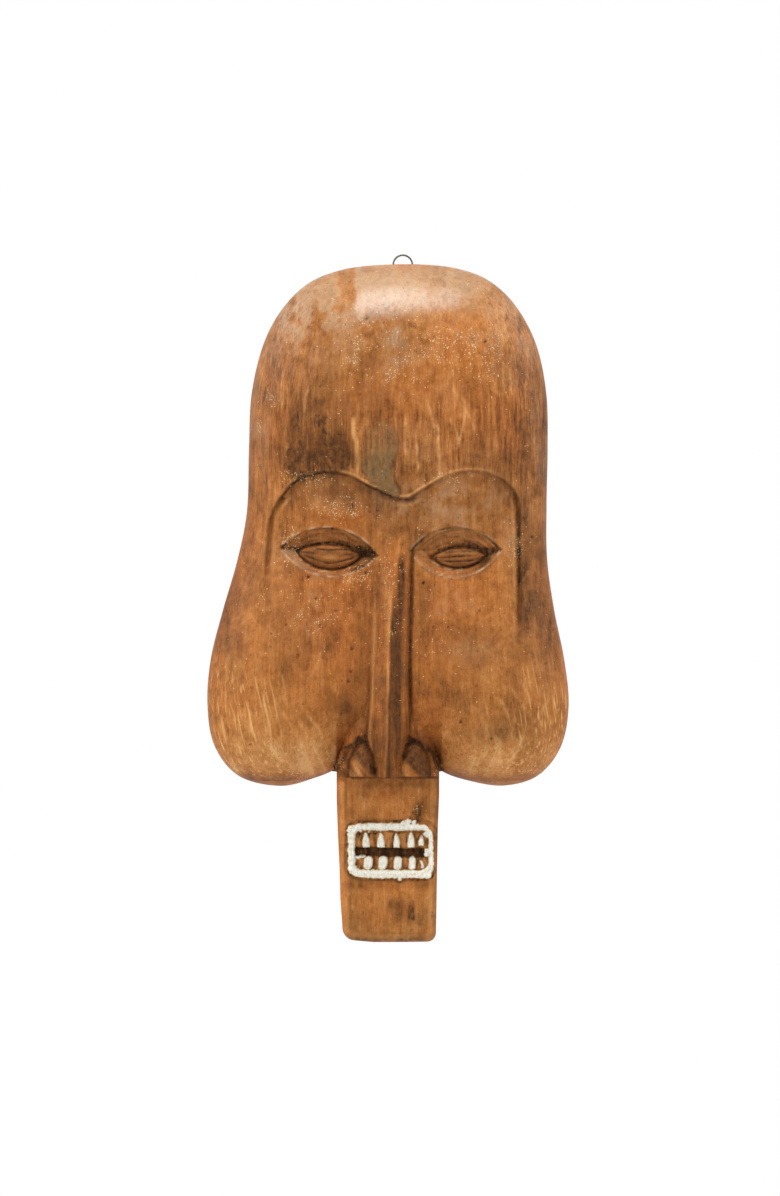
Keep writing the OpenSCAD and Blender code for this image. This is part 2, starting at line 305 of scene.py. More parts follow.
def relief(name, box, step, inside, top, bottom, facing=-1):
    """A closed piece where inside(x, z) is positive, from bottom to top, on a grid over the box."""
    x0, x1, z0, z1 = box
    xs, zs = np.arange(x0, x1, step), np.arange(z0, z1, step)
    x, z, cells, _, used = trimmed(xs, zs, inside, -0.3 * step)
    upper = np.stack([x[used], facing * top(x, z)[used], z[used]], 1)
    lower = np.stack([x[used], facing * bottom(x, z)[used], z[used]], 1)
    return shell(name, upper, lower, quads(cells, numbered(used), facing > 0)), x[used], z[used]


# ---- outlines
# ribs of the head, from the crown down: x and z of the right end, x and z of the left end,
# z where the rib meets the middle line, rim left round the hollow
RIBS = [
    (22, 439.6, -8, 439.2, 366, 37), (46, 436.6, -32, 435.8, 360, 36), (66, 428.5, -53, 427, 352, 32),
    (83, 412, -70, 410, 342, 26), (96, 387, -82, 387, 330, 20), (102.5, 355, -89.5, 355, 314, 16),
    (103.3, 320, -91.2, 320, 296, 15), (102.6, 282, -92.4, 280, 276, 15),
    (103, 248, -98.5, 248, 254, 15), (107.5, 215, -108, 215, 234, 15), (114, 183, -116, 183, 218, 16),
    (117, 153, -118.2, 153, 204, 18), (112, 126, -113.5, 126, 192, 22), (97, 107, -97.5, 106.5, 182, 28),
    (75, 100.4, -71, 100.2, 174, 34), (52, 103.6, -49, 105.2, 167, 42),
    (33.6, 110.5, -33.6, 112.5, 161, 42), (26, 123.5, -24, 127, 156, 32), (12, 132, -12, 134, 151, 20),
]
OUTLINE = [rib[:2] + rib[4:] for rib in RIBS] + [rib[2:] for rib in RIBS[::-1]]
MIDDLE_X = 3.0
HEAD = closed_curve(OUTLINE, 14, -0.5)


def chin_outline():
    right = [(32.4, 112), (32.4, 95), (31.6, 75), (31.1, 50), (30.7, 25), (30.4, 10)]
    left = [(-30.2, 12), (-31.4, 28), (-31.9, 48), (-32.9, 68), (-33.7, 90), (-33.8, 112)]
    foot = [(30.4 - 6 + 6 * math.cos(a), 6.5 - 6 * math.sin(a)) for a in np.linspace(0, math.pi / 2, 7)]
    foot += [(5, 0.3), (-10, 0.3), (-18, 1.0)]
    foot += [(-22.2 - 8 * math.sin(a), 10 - 8.6 * math.cos(a)) for a in np.linspace(0.1, math.pi / 2, 6)]
    return np.array([(20, 150), *right, *foot, *left, (-20, 150)], float)


CHIN = chin_outline()


def outer_edge(x, z):
    return np.maximum(distance(x, z, HEAD), distance(x, z, CHIN))


# ---- carved front
MARKS = ("grime_and_shade", "stain", "pale", "grey", "cuts_and_highlights", "speck", "gloss", "worn", "grainy")
FACE, SIDE, CHIN_Y = 60.0, 12.0, 50.0
NOTHING = -99.0
# z, and radius of the rounded edge of the head there
ROUNDING = [
    (98, 30), (126, 38), (153, 42), (183, 44), (320, 48), (355, 52), (387, 60), (412, 68), (440, 76),
]
PANEL_DEEP, EYE_DEEP, MOUTH_DEEP, SLOT_DEEP = 3.0, 5.4, 1.9, 3.6
BROWS = closed_curve([
    [9, 286.5], [21, 292], [34, 299.5], [46, 303.6], [59, 303.8], [72, 299.5], [81, 291],
    [84.5, 279], [85, 250], [85.2, 215], [82, 185], [60, 170], [30, 168], [0, 168], [-30, 168],
    [-60, 170], [-78, 185], [-81, 215], [-79, 250], [-76.5, 274], [-69, 288.5], [-58, 299.5],
    [-42, 303.6], [-26, 301.5], [-12, 294.5],
], 6)
# x, and how dark the groove over the brows is painted there (painted shade with soiling); x, and how strong
# its pale lip is (a painted highlight on its lit edge)
GROOVE_DARK = [
    (-80, 0.7), (-64, 0.85), (-46, 0.75), (-28, 0.75), (-12, 1), (8, 1), (13, 0.42), (40, 0.22),
    (70, 0.34), (84, 0.8),
]
LIP_PALE = [(-80, 0.4), (-34, 0.7), (-24, 1.6), (8, 1.6), (20, 1.2), (60, 0.6), (85, 0.3)]
# outer and inner almond of each eye: left tip, right tip, height of the upper arc, of the lower arc
LEFT_EYE = [((-70.5, 254.6), (-7.2, 249.6), 16.0, 15.6), ((-59.5, 252.6), (-16.5, 250.6), 5.6, 10.6)]
RIGHT_EYE = [((13.2, 252.6), (72.2, 253.8), 15.4, 17.4), ((27.0, 248.4), (63.6, 250.2), 5.6, 7.2)]
# z, left edge, ridge, right edge, rise above the cheeks
NOSE = np.array([
    (107.2, -7.6, -1.9, 6.4, 15.0), (113, -8.2, -1.8, 7.0, 14.8), (121, -9.6, -1.4, 8.2, 14.4),
    (128, -12.6, -1.0, 10.4, 13.8), (134, -13.9, -0.7, 11.8, 13.2), (146, -12.6, -0.4, 12.0, 12.2),
    (160, -11.6, -0.2, 11.9, 11.0), (195, -10.6, 0.4, 12.3, 8.2), (225, -9.8, 2.0, 13.0, 5.2),
    (240, -8.2, 4.2, 13.4, 3.4), (252, -4.5, 6.5, 13.8, 1.9), (268, 2.0, 9.0, 14.0, 0.9),
    (284, 6.0, 9.0, 12.0, 0.3),
], float)
# middle x and z, half width, height and rise of each nostril wing
WINGS = [(-15.6, 111.0, 10.6, 19.0, 16.5), (15.6, 111.0, 11.0, 18.6, 16.0)]
WING_FOOT = 107.3
MOUTH_X0, MOUTH_X1, MOUTH_Z0, MOUTH_Z1 = -27.0, 29.2, 41.4, 78.2


def front_plane(x, z):
    return FACE + 3.5 * bump(z, 340, 60) + 2 * bump(z, 150, 45) - 7 * ((x - MIDDLE_X) / 110) ** 2


def head_block(x, z, d_head):
    """Forehead, cheeks and lobes, rounded over at their edge."""
    radius = lookup(z, ROUNDING) * (1 - 0.65 * bump(x, 1, 30) * fade(-z, -160, -125))
    t = np.clip(d_head / radius, 0, 1)
    head = SIDE + (front_plane(x, z) - SIDE) * np.sqrt(1 - (1 - t) ** 2)
    cheeks = [(1.6, -58, 172, 34, 44), (1.6, 62, 172, 34, 44)]
    return head + add_up(x, z, cheeks, fade(d_head, 0, 30))


def carve_brows(x, z, s, mark):
    """Depth of the panel under the brows and of the groove round it. s is the distance inside."""
    low_end = np.where(x < 3, fade(z, 212, 262), fade(z, 178, 226))
    cut = PANEL_DEEP * fade(s, -0.9, 0.9) * low_end
    cut += add_up(x, z, [(2.2, -39, 266, 36, 24), (2.2, 44, 266, 34, 24)], fade(s, 0, 12))
    arch = fade(z, 283, 290)
    flank = (1 - fade(z, 284, 292)) * low_end
    wide = np.where(z > 287, 0.75, 1.7)
    groove = bump(s, 0.6 * wide, wide)
    broken = 0.65 + 0.35 * noise(x, z, 6, 6, 3)
    dark = arch * lookup(x, GROOVE_DARK)
    # the groove and the foot of the step are painted dark: painted shade under the step, with soiling
    mark["grime_and_shade"] += groove * broken * (1.7 * dark + flank * np.where(x > 0, 1.2, 0.6))
    mark["grime_and_shade"] += 0.5 * dark * bump(s, 3.6, 2.6) * broken * (x < 12)
    # the lip above the groove is painted pale: a painted highlight on its lit edge
    mark["cuts_and_highlights"] += bump(s, -1.3, 0.9) * (arch * lookup(x, LIP_PALE) + 0.3 * flank) * broken
    mark["cuts_and_highlights"] += bump(s, 4.6, 1.1) * 0.5 * flank * broken
    mark["stain"] += 0.45 * bump(s, -3.0, 2.6) * flank * (x > 0) * broken
    return cut + groove * (0.75 * dark + 1.5 * flank)


def almond(x, z, tips):
    """Distances inside the upper and the lower arc, and the place along and across the line of tips."""
    (x0, z0), (x1, z1), up, down = tips
    w = math.hypot(x1 - x0, z1 - z0) / 2
    ux, uz = (x1 - x0) / (2 * w), (z1 - z0) / (2 * w)
    dx, dz = x - (x0 + x1) / 2, z - (z0 + z1) / 2
    u, v = dx * ux + dz * uz, -dx * uz + dz * ux
    ru, rd = (w * w + up * up) / (2 * up), (w * w + down * down) / (2 * down)
    return ru - np.hypot(u, v - (up - ru)), rd - np.hypot(u, v + (down - rd)), u, v, w


def eyeball_lines(gu, gl, ui, vi, k):
    """Knife lines that follow the lids across the eyeball, at three shares of its height."""
    lines = 0
    for q, width in ((0.17, 0.52), (0.42, 0.55), (0.7, 0.52)):
        place = q + 0.06 * noise(ui, vi * 0, 12, 9, 31 + int(q * 50) + k)
        across = gu - place * (gu + gl)
        lines = lines + bump(across, 0, width) * patchy(ui, vi, 6, 30, 40 + k + int(q * 9), -0.7, 0.3)
    return np.clip(lines, 0, 1) * (np.minimum(gu, gl) > 0.3)


def carve_eye(x, z, k, mark):
    """How deep the left (k = 0) or right (k = 1) eye is cut, and whether a point is on its ball."""
    outer, inner = (LEFT_EYE, RIGHT_EYE)[k]
    left = k == 0
    fu, fl, u, v, w = almond(x, z, outer)
    gu, gl, ui, vi, wi = almond(x, z, inner)
    d_out = np.minimum(fu, fl)
    in_ball = np.minimum(gu, gl)
    to_lid, to_ball = np.clip(d_out, 0, None), np.maximum(-in_ball, 0)
    ratio = to_lid / (to_lid + to_ball + 1e-6)
    step = np.where(v > 0, 1.1, 0.5)
    slope = step + (EYE_DEEP - step) * ratio ** np.where(v > 0, 1.0, 1.15)
    dome = np.clip(in_ball / 4.6, 0, 1)
    ball = EYE_DEEP - 3.2 * np.sqrt(1 - (1 - dome) ** 2)
    cut = np.where(in_ball > 0, ball, slope) * fade(d_out, -0.35, 0.55)
    edge = bump(gu, -0.3, 1.0) * (gl > -0.6) + bump(gl, 0, 0.7) * (gu > -0.6)
    edge = np.clip(edge, 0, 1) * (d_out > 0)
    # the corners run out along the line between the tips
    corner = bump(v, 0.4 if left else -0.24, 1.2) * fade(np.abs(u), wi - 4, wi) * (d_out > -0.5)
    corner = corner * np.where(u < 0, 0.5 if left else 0.15, 1.0)
    lines = eyeball_lines(gu, gl, ui, vi, k)
    cut += 1.1 * edge + 1.4 * corner * fade(w - np.abs(u), -0.5, 4) + 0.8 * lines

    share = gu / (gu + gl + 1e-6)
    thick = np.clip(edge * (0.8 + 0.4 * fade(ui, 0, 14) * left), 0, 1)
    # the cuts round the ball, its knife lines and the corners are painted dark: painted shade in the cuts,
    # with soiling
    mark["grime_and_shade"] += np.clip(1.2 * thick + 0.95 * lines + 1.1 * corner, 0, 1)
    mark["grime_and_shade"] += 0.55 * bump(gu, -1.6, 1.5) * (d_out > 0.3) * (v > 0) * fade(ui, -12, 10)
    mark["cuts_and_highlights"] += 0.45 * (in_ball > 0.8) * patchy(ui, share * 6, 9, 0.8, 67 + k, 0, 0.5)
    mark["stain"] += (in_ball > 0) * (0.36 + 0.3 * patchy(ui, share * 7, 8, 1, 47 + k, -0.5, 0.6))
    socket = (d_out > 0) * (in_ball <= 0)
    # the upper socket darkens toward the ball: painted shade deeper in the cut, with soiling
    darkening = (0.3 + 0.32 * fade(ratio, 0.2, 1)) * (0.75 + 0.5 * noise(x, z, 5, 6, 57 + k))
    mark["grime_and_shade"] += socket * (v > 0) * darkening
    # the lids' cut edges: broken pale line above, dark nick below it (painted shade under the edge, with
    # soiling)
    pale_edge = bump(fu, -0.3, 0.55) * (fl > 1) * patchy(x, z, 5, 5, 51 + k, -0.3, 0.4)
    mark["pale"] += 1.1 * pale_edge * (1 if left else 0.5)
    mark["grime_and_shade"] += 0.8 * bump(fu, 0.7, 0.55) * (fl > 1) * patchy(x, z, 5, 5, 61 + k, -0.5, 0.3)
    mark["grime_and_shade"] += 0.55 * bump(fl, -0.6, 0.6) * (fu > 1) * patchy(x, z, 6, 6, 63 + k, -0.6, 0.3)
    mark["grey"] += 0.5 * bump(fl, -0.2, 0.7) * (fu > 1)
    # the lower lid: worn grey at its outer end, darker at the inner one
    lid = (d_out > 0.4) * (v < 0) * (in_ball <= 0)
    mark["stain"] += 0.24 * lid * fade(u, -26, -14)
    grey = (1 - fade(ratio, 0.5, 0.95)) * (1 - 0.9 * fade(u, -26, 0))
    mark["grey"] += (0.6 if left else 0.12) * lid * grey
    mark["grime_and_shade"] += 0.55 * lid * fade(u, -6, 22) * (0.7 + 0.5 * noise(x, z, 3, 3, 69 + k))
    # knife strokes that run along the lids, and chips out of their edges
    strokes = patchy(u, fu * 1.6, 9, 1.3, 641 + k, 0.0, 0.5) * (v > 0)
    strokes = strokes + patchy(u, fl * 1.6, 9, 1.3, 643 + k, 0.0, 0.5) * (v <= 0)
    mark["grime_and_shade"] += 0.34 * socket * strokes
    mark["cuts_and_highlights"] += 0.35 * socket * patchy(u, d_out * 1.6, 8, 1.3, 645 + k, 0.25, 0.6)
    chips = bump(fl, 0.3, 0.5) * (fu > 1) + bump(gl, -1.3, 0.5) * (gu > 0) * (ui < 6)
    mark["pale"] += 0.8 * chips * patchy(x, z, 2.6, 2.6, 647 + k, 0.05, 0.45)
    if left:
        # a deep notch at the inner corner, painted dark: painted shade in it, with soiling
        notch = spot(x, z, -14.5, 252.2, 8.0, 3.4) * (d_out > 0)
        mark["grime_and_shade"] += 1.2 * notch
        mark["stain"] += 0.6 * notch
        cut += 2.0 * notch
    else:
        # painted shade in the lower right of the socket
        mark["grime_and_shade"] += 0.7 * socket * (v < 0) * fade(u, 6, 22) * fade(ratio, 0.35, 0.9)
        mark["grime_and_shade"] += bump((x - 18.6) * 0.64 - (z - 258) * 0.77, 0, 0.95) * bump(x, 18.6, 5)
    return cut, in_ball > 0


def carve_nose(x, z, head, mark):
    """Height of the nose, depth of the grooves beside it, the points on it and the distance outside."""
    left, ridge, right, rise = (np.interp(z, NOSE[:, 0], NOSE[:, k]) for k in (1, 2, 3, 4))
    flat_l = np.interp((x - left) / (ridge - left), [0, 0.12, 1], [0, 0.3, 1])
    flat_r = np.interp((right - x) / (right - ridge), [0, 0.1, 0.9, 1], [0, 0.36, 0.97, 1])
    # the ridge itself is worn round
    inside = np.where(x < ridge, flat_l, flat_r) - 0.045 * bump(x, ridge, 1.3)
    outside = np.maximum(left - x, x - right)
    base = front_plane(x * 0 + 1, z) - PANEL_DEEP * np.interp(z, [168, 240], [0, 1]) * fade(300 - z, 0, 20)
    nose = base + rise * inside - 0.4 * (1 - inside) - 4.5 * np.clip(outside, 0, None)
    nose = np.where((z < 286) & (z > 107.0) & (outside < 8), nose, NOTHING)
    brow_end = np.where(z > 252, head + (rise * inside) * (outside < 0) * fade(286 - z, 0, 22), NOTHING)
    flute_r = bump(x, right + 1.4, 1.25) * fade(z, 112, 150) * fade(262 - z, 0, 14)
    flute_l = bump(x, left - 1.0, 1.0) * fade(z, 120, 140) * fade(252 - z, 0, 30)
    # the grooves beside the nose are painted dark: painted shade in them, with soiling
    mark["grime_and_shade"] += 0.95 * flute_r + 0.75 * flute_l * (0.5 + 0.5 * noise(x, z, 4, 26, 71))
    on_nose = (outside < 0) & (z > 107) & (z < 262)
    # the right facet is darkened in long streaks, staining and painted shade on the side away from the key
    # light, with a lighter strip beside the groove
    facet = on_nose * fade(x - ridge + 1.4 * noise(x, z, 2, 22, 77), -0.6, 1.0) * fade(256 - z, 0, 16)
    streaks = 0.06 + 0.92 * patchy(x, z, 1.7, 60, 72, -0.45, 0.35)
    mark["stain"] += facet * streaks * (1 - 0.75 * fade(x - right, -3.4, -1.8))
    mark["stain"] += 1.2 * bump(x, ridge + 4.0, 2.4) * bump(z, 182, 42) * facet
    edge_line = bump(x, left + 1.0, 0.7) * fade(z, 112, 130) * fade(236 - z, 0, 20)
    mark["cuts_and_highlights"] += 0.5 * edge_line * patchy(x, z, 6, 16, 78, -0.7, 0.4)
    # pale streaks on the left facet are a painted highlight on the side toward the key light
    left_facet = on_nose * (x < ridge) * fade(250 - z, 0, 20)
    mark["cuts_and_highlights"] += 0.22 * left_facet * patchy(x, z, 3, 40, 74, -0.6, 0.5)
    mark["cuts_and_highlights"] += 0.22 * bump(x, ridge - 0.6, 1.0) * on_nose * patchy(x, z, 6, 11, 76, -0.4, 0.6)
    return nose, brow_end, 2.6 * flute_r + 0.9 * flute_l, on_nose, outside


def carve_chin(x, z, d_chin):
    """Chin block with a worn bevel down each side, the sunk mouth field and its slot; and its marks."""
    t = np.clip(d_chin / 7.0, 0, 1)
    chin = CHIN_Y - 6.6 * (1 - np.sqrt(1 - (1 - t) ** 2)) + 0.35 * fbm(x, z, 16, 30, 5)
    chin += 0.7 * bump(z, 92, 9) - 0.5 * bump(z, 30, 18) * bump(x, 0, 18)
    mouth = rect_distance(x, z, MOUTH_X0 + 4.6, MOUTH_X1 - 4.0, MOUTH_Z0 + 5, MOUTH_Z1 - 5, 4)
    chin -= MOUTH_DEEP * fade(mouth, -0.7, 0.9)
    slot_mid = 58.9 - 0.024 * (x + 22) + 0.3 * noise(x, z * 0, 6, 9, 12)
    slot = np.minimum(3.0 - np.abs(z - slot_mid), np.minimum(x + 22.2, 22.8 - x))
    chin -= SLOT_DEEP * fade(slot, -0.4, 0.6)
    field = fade(mouth, 0, 1)
    # the slot and the edges of the sunk field are painted dark: painted shade in the recesses, with soiling
    grime_and_shade = 0.8 * fade(slot, -0.3, 0.8) + 0.35 * bump(mouth, 0.2, 0.9) + 0.55 * bump(mouth, -5.9, 0.9)
    grime_and_shade += 0.5 * field * patchy(x, z, 2.2, 7, 83, -0.1, 0.7)
    grime_and_shade += 0.42 * bump(d_chin, 6.2, 0.7) * (0.6 + 0.4 * noise(x, z, 5, 12, 85))
    cuts_and_highlights = 0.1 * field * (slot < 0) + 0.3 * bump(d_chin, 3.6, 2.0) * (z < 104)
    marks = {"grime_and_shade": grime_and_shade, "stain": 0.75 * fade(slot, -0.4, 0.4), "cuts_and_highlights": cuts_and_highlights}
    return np.where(d_chin > -1.2, chin, NOTHING), marks


def carve_wings(x, z):
    """Nostril wings, cut flat underneath, and how far a point is inside each of them."""
    height = np.full_like(x, NOTHING)
    shares = []
    for cx, cz, rx, rz, rise in WINGS:
        q = 1 - ((x - cx) / rx) ** 2 - ((z - cz) / rz) ** 2
        w = CHIN_Y - 0.5 + rise * np.clip(q, 0, 1) ** 0.42 - 1.6 * bump(z, WING_FOOT, 1.3)
        height = np.maximum(height, np.where((q > 0) & (z > WING_FOOT), w, NOTHING))
        shares.append(q)
    return height + 0.5 * fbm(x, z, 5, 7, 91), shares


def mark_crevices(x, z, d_head, outside, on_wing, shares, mark):
    """Painted shade with soiling between wings and cheeks, the wings' upper halves painted dark and their
    lower facets pale (painted shade and painted highlight), and a painted shadow line under the nose.
    """
    beside = (z > 107) * (z < 137) * (np.abs(x) < 36) * (d_head < 2.5) * (outside > 0)
    slanted = patchy(x * 0.8 + z * 0.6, z * 0.8 - x * 0.6, 2.2, 12, 87, 0, 0.6)
    mark["grime_and_shade"] += beside * (0.95 * bump(d_head, 0.2, 1.3) + 0.55 * slanted)
    for (cx, *_), q in zip(WINGS, shares):
        near = (np.abs(x - cx) < 14) * (z > 107) * (outside > 0)
        mark["grime_and_shade"] += near * (0.95 * bump(q, 0.0, 0.13))
        mark["stain"] += on_wing * fade(z + 0.9 * (x - cx + 3.5), 112, 119) * (np.abs(x - cx) < 13)
    mark["grime_and_shade"] += 0.9 * bump(z, 106.7, 0.7) * (x > -25) * (x < 33)
    mark["cuts_and_highlights"] += 0.5 * on_wing * (1 - fade(z, 112, 124)) * (bump(x, -20, 3.5) + bump(x, 9, 4))


def carve(x, z):
    """Depth of the carved front at each point, the marks that the wood reads, and where things are."""
    mark = {k: np.zeros_like(x) for k in MARKS}
    d_head, d_chin = distance(x, z, HEAD), distance(x, z, CHIN)
    s = distance(x, z, BROWS)
    head = head_block(x, z, d_head) - carve_brows(x, z, s, mark)
    ball = np.zeros_like(x)
    for k in (0, 1):
        cut, on_ball = carve_eye(x, z, k, mark)
        head -= cut
        ball += on_ball
    nose, brow_end, grooves, on_nose, outside = carve_nose(x, z, head, mark)
    head -= grooves
    chin, chin_marks = carve_chin(x, z, d_chin)
    wings, shares = carve_wings(x, z)
    raised = np.maximum(np.maximum(nose, chin), wings)
    height = np.where(d_head < -1.2, raised, np.maximum(raised, np.maximum(head, brow_end)))
    for k in MARKS:
        mark[k] = np.where(height == chin, chin_marks.get(k, 0), mark[k])
    mark_crevices(x, z, d_head, outside, height == wings, shares, mark)
    # slight hand-cut unevenness, and the knife and rasp marks
    d_any = np.maximum(d_head, d_chin)
    height += 0.22 * fbm(x, z, 26, 60, 101, 3) * fade(d_any, 0, 10)
    height += 0.07 * noise(x, z, 1.5, 22, 103) * fade(d_any, 0, 6)
    return height, mark, {"d_head": d_head, "s": s, "ball": ball, "nose": on_nose}


# ---- wear, dirt and colour
# (amount, x, z, width, height) of each soft spot
SOOT = [
    (0.45, 96, 234, 4, 26), (0.4, 104, 206, 5, 20), (0.3, -106, 212, 5, 26), (0.5, -28, 150, 7, 10),
    (0.3, 66, 136, 16, 7), (1.7, -42, 311, 18, 8), (1.1, -56, 308, 10, 8), (1.0, -36, 322, 8, 14),
    (0.55, -50, 331, 5, 18), (0.45, -60, 330, 9, 16), (0.22, -42, 345, 16, 18), (0.2, -62, 340, 28, 44),
    (0.3, -8, 344, 12, 14), (0.3, 72, 306, 18, 14), (0.34, 74, 372, 10, 13), (0.22, 58, 384, 18, 9),
    (0.45, 88, 255, 5, 40), (0.36, -100, 190, 9, 30), (0.3, 104, 190, 8, 34), (0.3, 20, 214, 7, 30),
    (0.3, -17, 196, 6, 46), (0.4, -20, 284, 12, 9), (0.3, 50, 196, 14, 10), (0.24, -70, 205, 14, 30),
    (0.26, 84, 140, 20, 12), (0.34, 90, 214, 8, 26), (0.6, -6, 282, 5, 12), (0.24, 62, 326, 16, 20),
    (0.28, -82, 240, 10, 22), (0.3, -34, 292, 14, 6),
]
WORN = [
    (0.28, 6, 374, 62, 40), (0.75, -52, 405, 26, 26), (0.5, 74, 402, 22, 30), (0.22, 30, 300, 50, 30),
    (0.7, 4, 419, 30, 11), (0.5, 38, 423, 20, 9), (0.95, -29.7, 403.5, 9, 6), (1.1, 3.7, 392, 9, 7),
    (0.45, -20, 376, 9, 8), (0.5, 5, 372, 7, 6), (0.45, -60, 395, 12, 20), (0.6, -44, 412, 30, 16),
    (0.65, 44, 282, 34, 14), (0.3, -30, 288, 30, 12), (0.5, -72, 252, 6, 8), (0.42, 78, 262, 6, 16),
    (0.3, 40, 215, 16, 18), (0.32, 55, 190, 16, 10), (0.24, -50, 210, 22, 30), (0.3, -88, 345, 5, 40),
    (0.5, -84, 331, 5, 6), (0.45, -78, 352, 8, 4), (0.25, 94, 330, 6, 50), (0.3, -60, 118, 26, 10),
    (0.26, 58, 112, 18, 8), (0.3, 6, 276, 6, 10),
]
ORANGE = [
    (0.9, 46, 384, 24, 18), (0.7, 10, 352, 20, 20), (0.5, -20, 355, 14, 16), (0.8, -30, 272, 16, 12),
    (0.7, 60, 340, 22, 26), (0.7, -40, 225, 26, 26), (0.5, 46, 226, 24, 22), (0.6, 5, 248, 5, 30),
    (0.5, 0, 92, 22, 8), (0.4, 0, 30, 24, 16), (0.6, 26, 150, 14, 40),
]
FLECKS = [
    (0.85, -32, 280, 18, 8), (0.5, -45, 298, 12, 4), (0.8, -60, 301, 9, 4), (0.7, -34, 113, 5, 6),
    (1.5, -63, 262, 5.5, 8), (1.7, -22, 236.5, 7, 5.5), (0.4, -12, 245, 5, 4), (0.55, 14, 268, 5, 4),
    (0.4, -78, 350, 7, 5), (0.55, -84, 331, 3, 6), (0.85, -50, 104, 22, 6), (0.4, -36, 116, 6, 6),
    (0.5, 82, 256, 8, 12), (0.9, -20, 377, 9, 9), (0.8, 6, 372, 9, 7), (0.6, 40, 384, 26, 12),
    (0.35, -10, 400, 26, 14), (0.7, 31, 110, 4, 6), (0.3, 0, 355, 30, 24), (0.45, -70, 244, 7, 5),
    (0.25, 30, 200, 16, 24), (0.3, -50, 212, 30, 20), (0.45, 18, 88, 6, 9), (0.35, 60, 372, 14, 20),
    (0.4, 46, 300, 26, 5), (0.35, 0, 230, 10, 40),
]
CHIN_SMUDGES = [
    (0.85, 18, 84, 3.6, 6), (0.6, 22, 90, 3, 5), (0.75, 8, 24.5, 9, 4), (0.45, 13, 18, 8, 5),
    (0.5, -17, 37.6, 10, 2.5), (0.6, 23, 38, 4, 3), (0.35, -18, 96, 6, 6), (0.4, 2, 102, 28, 2.5),
    (0.35, -24, 60, 2, 30), (0.3, 22, 14, 10, 8), (0.35, -20, 12, 9, 7),
]
# broad lighter and darker parts of the face
SHADES = [
    (0.2, 10, 424, 70, 16), (-0.2, -70, 350, 20, 60), (-0.16, 88, 350, 18, 60),
    (-0.15, -28, 186, 14, 46), (-0.1, 30, 196, 12, 40), (0.12, -74, 196, 18, 40),
    (0.1, 62, 180, 20, 30), (0.1, 100, 168, 16, 26), (0.12, -98, 150, 18, 30),
]
# (x, z) of both ends, and strength
SCRATCHES = [
    (-22.5, 338, -20.5, 303, 2.2), (-24.5, 306, -12, 296, 0.8), (17, 330, 19, 302, 0.5),
    (30, 338, 33, 300, 0.5), (49, 345, 44, 318, 0.5), (46, 352, 55, 330, 0.4), (-52, 360, -55, 340, 0.35),
    (40, 372, 43, 350, 0.35), (24, 352, 31, 322, 0.4), (36, 350, 46, 320, 0.45), (10, 340, 12, 312, 0.35),
    (-40, 196, -52, 168, 0.3), (72, 158, 84, 126, 0.7), (78, 166, 96, 140, 0.6), (66, 142, 72, 118, 0.5),
    (-52, 150, -40, 128, 0.7), (-58, 146, -52, 130, 0.5), (-84, 132, -62, 112, 0.5),
    (-96, 150, -78, 120, 0.5), (92, 140, 104, 158, 0.5), (60, 178, 74, 150, 0.45),
    (-74, 160, -60, 134, 0.4), (58, 150, 66, 132, 0.5), (84, 176, 92, 150, 0.45),
    (-102, 170, -92, 138, 0.45), (-70, 176, -66, 150, 0.35), (50, 120, 62, 132, 0.4),
    (-14, 108, -14, 122, 0.5),
]
# x, z, radius
WORM_HOLES = [
    (-52, 236, 0.9), (-24, 190, 0.8), (22, 232, 0.9), (26, 226, 0.6), (-26, 169, 0.9), (-24.6, 175, 0.7),
    (-47, 222, 0.6), (46, 143, 0.9), (-28, 126, 0.7), (92, 262, 0.8), (101, 180, 0.7), (-8, 150, 0.4),
    (-66, 205, 0.6), (58, 214, 0.6), (-15.4, 238.5, 0.8), (-16.4, 243, 0.6), (-58, 186, 0.5),
    (38, 204, 0.5), (-10, 392, 0.5), (66, 132, 0.6), (-90, 128, 0.6), (-14.5, 402, 0.6),
    (-52, 398, 0.6), (62, 388, 0.8), (10, 384, 0.5), (-34, 214, 0.5), (-44, 205, 0.4), (34, 236, 0.5),
]
FILLER = closed_curve([
    (-6, 337), (-12, 333), (-17, 324), (-18, 312), (-17, 303), (-11, 296), (-4, 291), (5, 287.6),
    (7, 292), (3.5, 299), (2.6, 307), (5, 316), (5.6, 326), (1, 334),
], 6)


def scratch(x, z, x0, z0, x1, z1, strength):
    """A pale cut from one end to the other, a little wavy and broken."""
    dx, dz = x1 - x0, z1 - z0
    length = math.hypot(dx, dz)
    along = ((x - x0) * dx + (z - z0) * dz) / length
    across = ((x - x0) * dz - (z - z0) * dx) / length + 1.2 * noise(x, z, 7, 7, 401 + int(z0))
    clear = 1.9 if z0 > 290 else 0.9
    line = clear * bump(across, 0, 0.9) * fade(along, -2, 5) * fade(length + 2 - along, 0, 7)
    return strength * line * np.maximum(patchy(x, z, 3, 4, 431, -0.9, 0.3), min(strength - 1, 1))


def filler_patch(x, z, patches, mark):
    """Filler over an old knot above the meeting of the brows: how strong it is, and how high it stands."""
    inside = distance(x, z, FILLER) + 2.6 * fbm(x, z, 5, 7, 601)
    filler = fade(inside, -0.8, 2.2) * (0.5 + 0.35 * fade(patches, -0.4, 0.3))
    filler *= 0.45 + 0.55 * fade(318 - z + 0.6 * (x + 8), -10, 12)
    low_part = fade(314 - z + 4 * noise(x, z, 6, 6, 603), -4, 8)
    crack = bump(inside, 0.1, 0.6) * np.clip(0.25 + 0.75 * low_part, 0, 1)
    mark["grime_and_shade"] += 0.8 * crack * patchy(x, z, 3, 3, 605, -0.8, 0.2)
    return filler, 0.25 * filler * fade(inside, 0, 3) - 0.7 * crack


